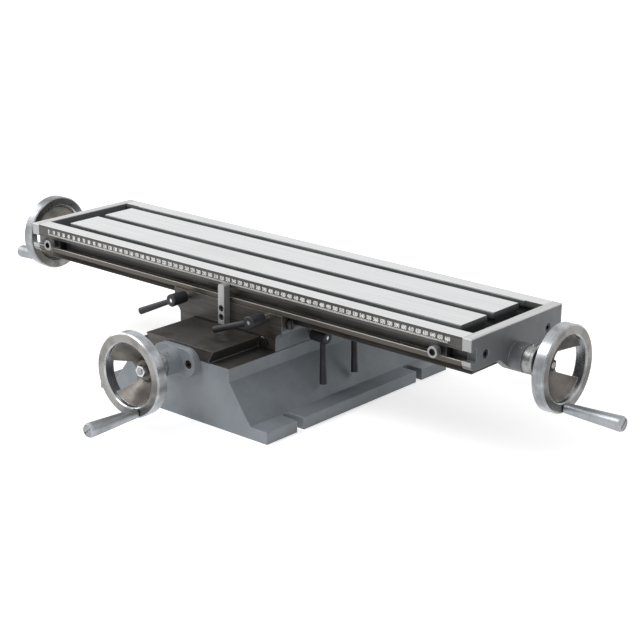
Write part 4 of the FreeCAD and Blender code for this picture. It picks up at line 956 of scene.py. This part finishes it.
def dial_place(name):
    """Place of a ring of marks, made along X from the dial's end at its boss."""
    low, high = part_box(name)
    if name == "y_dial":
        return Matrix.Translation((0.0, high.y, Y_SCREW_HEIGHT)) @ Matrix.Rotation(math.radians(-90), 4, "Z")
    if name == "x_dial_left":
        return Matrix.Translation((high.x, 0.0, X_SCREW_HEIGHT)) @ Matrix.Rotation(math.pi, 4, "Z")
    return Matrix.Translation((low.x, 0.0, X_SCREW_HEIGHT))


class CROSSSLIDE_OT_dials(bpy.types.Operator):
    """Add the graduations and numbers round the dials"""

    bl_idname = "crossslide.dials"
    bl_label = "Dial graduations"

    def execute(self, context):
        marks = context.scene.cross_slide_marks
        ink = flat_mark_finish("black dial marks", (0.03, 0.03, 0.032))
        values = {
            "Count": marks.dial_marks, "Radius": DIAL_RADIUS, "Line": 0.00025, "Short": 0.0022,
            "Middle": 0.0032, "Long": 0.0042, "Relief": 0.00012, "Start": 0.0013,
        }
        words, spots = [], []
        lying = Matrix(((0, -1, 0, DIAL_NUMBER_PLACE), (1, 0, 0, 0), (0, 0, 1, DIAL_RADIUS), (0, 0, 0, 1)))
        for step in range(marks.dial_marks // 10):
            angle = 2 * math.pi * step * 10 / marks.dial_marks
            words.append(str(step * 10))
            spots.append(Matrix.Rotation(-angle, 4, "X") @ lying)
        rows = tree_mesh("dial lines", ring_tree(), values, ink)
        numbers = text_mesh(words, 0.0026, spots)
        for name, body in DIALS:
            mesh = merged(name + "_marks", [rows, numbers])
            mesh.transform(dial_place(name))
            new_piece(name + "_marks", mesh, body, ink)
        return {"FINISHED"}


class CROSSSLIDE_OT_knurls(bpy.types.Operator):
    """Add the knurls of the stop screws and dials"""

    bl_idname = "crossslide.knurls"
    bl_label = "Knurls"

    def execute(self, context):
        ridge = 0.0062
        for side in ("left", "right"):
            low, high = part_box(f"stop_screw_{side}")
            dog = NODES[f"stop_screw_{side}"].data.materials[0]
            values = {
                "Count": 44, "Radius": (high.z - low.z) / 2, "Line": 0.00045, "Short": ridge, "Middle": ridge,
                "Long": ridge, "Relief": 0.00045, "Start": 0.0009,
            }
            mesh = tree_mesh(f"stop knurl {side}", ring_tree(), values, dog)
            turn = Matrix.Rotation(math.radians(90), 4, "Z")
            middle = (low.x + high.x) / 2
            mesh.transform(Matrix.Translation((middle, low.y, (low.z + high.z) / 2)) @ turn)
            new_piece(f"stop_knurl_{side}", mesh, f"stop_dog_{side}", dog)
        ridge = 0.0030
        for name, body in DIALS:
            metal = NODES[name].data.materials[0]
            values = {
                "Count": 90, "Radius": KNURL_RADIUS, "Line": 0.0006, "Short": ridge, "Middle": ridge,
                "Long": ridge, "Relief": 0.0005, "Start": 0.0103,
            }
            mesh = tree_mesh(f"{name} knurl", ring_tree(), values, metal)
            mesh.transform(dial_place(name))
            new_piece(f"{name}_knurl", mesh, body, metal)
        return {"FINISHED"}


class CROSSSLIDE_OT_threads(bpy.types.Operator):
    """Wind the threads round the lead screws"""

    bl_idname = "crossslide.threads"
    bl_label = "Lead screw threads"

    def execute(self, context):
        marks = context.scene.cross_slide_marks
        steel = steel_finish("oiled screw steel", (0.30, 0.29, 0.27), roughness=0.30)
        for prefix, axis in (("x", (1.0, 0.0, 0.0)), ("y", (0.0, 1.0, 0.0))):
            node = NODES[f"{prefix}_leadscrew"]
            wear(node, steel)
            centre = Vector(JOINTS[f"{prefix}_crank_turn"]["pos_m"])
            mesh = threaded_mesh(f"{prefix}_threaded_screw", node, centre, Vector(axis), marks.lead)
            piece = new_piece(f"{prefix}_threaded_screw", mesh, f"{prefix}_crank", steel)
            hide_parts(f"{prefix}_leadscrew")
        return {"FINISHED"}


class CROSSSLIDE_OT_studio(bpy.types.Operator):
    """Set the floor, the lamps and the camera"""

    bl_idname = "crossslide.studio"
    bl_label = "Studio"

    def execute(self, context):
        studio = context.scene.cross_slide_studio
        scene = context.scene
        scene.view_settings.view_transform = "Standard"
        set_world(studio)
        set_floor(studio)
        set_lamps(studio)
        set_camera(studio)
        return {"FINISHED"}


# Studio


def seen_directly(wiring):
    """One for rays from the camera, a mirror or glass, which see the white backdrop."""
    path = wiring.add("ShaderNodeLightPath").outputs
    seen = wiring.math("MAXIMUM", path["Is Camera Ray"], path["Is Glossy Ray"])
    return wiring.math("MAXIMUM", seen, path["Is Transmission Ray"])


def set_world(studio):
    world = bpy.data.worlds.new("white studio")
    bpy.context.scene.world = world
    world.use_nodes = True
    wiring = Wiring(world.node_tree)
    background = world.node_tree.nodes["Background"]
    background.inputs["Color"].default_value = (1.0, 1.0, 1.0, 1.0)
    wiring.feed(background.inputs["Strength"], wiring.between(seen_directly(wiring), studio.fill, 1.0))


def set_floor(studio):
    mesh = bpy.data.meshes.new("floor")
    reach = 14.0
    corners = [(-reach, -reach, 0.0), (reach, -reach, 0.0), (reach, reach, 0.0), (-reach, reach, 0.0)]
    mesh.from_pydata(corners, [], [(0, 1, 2, 3)])
    floor = linked("floor", mesh)
    material, wiring, shader = new_finish("pale floor")
    shader.inputs["Base Color"].default_value = colour(studio.floor_tone)
    shader.inputs["Specular IOR Level"].default_value = 0.1
    skin = wiring.group(casting_skin_group(), Fineness=40.0, Patch_Size=1.5)
    wiring.feed(shader.inputs["Roughness"], wiring.ramp(skin["Patches"], 0.3, 0.7, 0.85, 0.95))
    glow = wiring.math("MULTIPLY", seen_directly(wiring), 0.58)
    shader.inputs["Emission Color"].default_value = (1.0, 1.0, 1.0, 1.0)
    wiring.feed(shader.inputs["Emission Strength"], glow)
    mesh.materials.append(material)


def add_lamp(name, place, aim, power, width, height):
    data = bpy.data.lights.new(name, "AREA")
    data.shape = "RECTANGLE"
    data.size = width
    data.size_y = height
    data.energy = power
    lamp = linked(name, data)
    lamp.location = place
    lamp.rotation_euler = (Vector(aim) - Vector(place)).to_track_quat("-Z", "Y").to_euler()
    lamp.visible_camera = False
    return lamp


def set_lamps(studio):
    middle = (0.0, 0.0, 0.1)
    add_lamp("key lamp", (-0.9, -1.6, 2.3), middle, studio.key_power, 1.6, 1.2)
    add_lamp("side lamp", (-2.3, -0.5, 1.1), middle, studio.side_power, 1.2, 1.4)


def set_camera(studio):
    """The photograph's camera, from fitted angles and place."""
    around, rise, roll = math.radians(40.2265), math.radians(18.1201), math.radians(0.7788)
    level = math.cos(rise)
    forward = Vector((-math.sin(around) * level, math.cos(around) * level, -math.sin(rise)))
    right = Vector((math.cos(around), math.sin(around), 0.0))
    up = right.cross(forward)
    across = right * math.cos(roll) + up * math.sin(roll)
    upward = -right * math.sin(roll) + up * math.cos(roll)
    turn = Matrix((across, upward, -forward)).transposed()
    place = (1.3202, -1.4745, 0.7256)
    data = bpy.data.cameras.new("camera")
    data.sensor_fit = "HORIZONTAL"
    data.sensor_width = 36.0
    data.lens = studio.focal_length
    camera = linked("camera", data)
    camera.matrix_world = Matrix.Translation(place) @ turn.to_4x4()
    bpy.context.scene.camera = camera


# Panel and registration

MAKERS = (
    CROSSSLIDE_OT_castings,
    CROSSSLIDE_OT_fasteners,
    CROSSSLIDE_OT_wheels,
    CROSSSLIDE_OT_levers,
    CROSSSLIDE_OT_threads,
    CROSSSLIDE_OT_strip,
    CROSSSLIDE_OT_dials,
    CROSSSLIDE_OT_knurls,
    CROSSSLIDE_OT_studio,
)
SETTINGS = (
    (CrossSlideLook, "cross_slide_look"),
    (CrossSlideMarks, "cross_slide_marks"),
    (CrossSlideStudio, "cross_slide_studio"),
)


class CROSSSLIDE_PT_panel(bpy.types.Panel):
    """Lists the makers and their settings"""

    bl_idname = "CROSSSLIDE_PT_panel"
    bl_label = "Cross Slide"
    bl_space_type = "VIEW_3D"
    bl_region_type = "UI"
    bl_category = "Cross Slide"

    def draw(self, context):
        for maker in MAKERS:
            self.layout.operator(maker.bl_idname)
        for kind, name in SETTINGS:
            box = self.layout.box()
            settings = getattr(context.scene, name)
            for label in kind.__annotations__:
                box.prop(settings, label)


def register():
    for kind, name in SETTINGS:
        bpy.utils.register_class(kind)
        setattr(bpy.types.Scene, name, bpy.props.PointerProperty(type=kind))
    for maker in MAKERS:
        bpy.utils.register_class(maker)
    bpy.utils.register_class(CROSSSLIDE_PT_panel)


def unregister():
    bpy.utils.unregister_class(CROSSSLIDE_PT_panel)
    for maker in reversed(MAKERS):
        bpy.utils.unregister_class(maker)
    for kind, name in reversed(SETTINGS):
        delattr(bpy.types.Scene, name)
        bpy.utils.unregister_class(kind)


def main():
    register()
    for maker in MAKERS:
        group, name = maker.bl_idname.split(".")
        getattr(getattr(bpy.ops, group), name)()


if __name__ == "__main__":
    main()
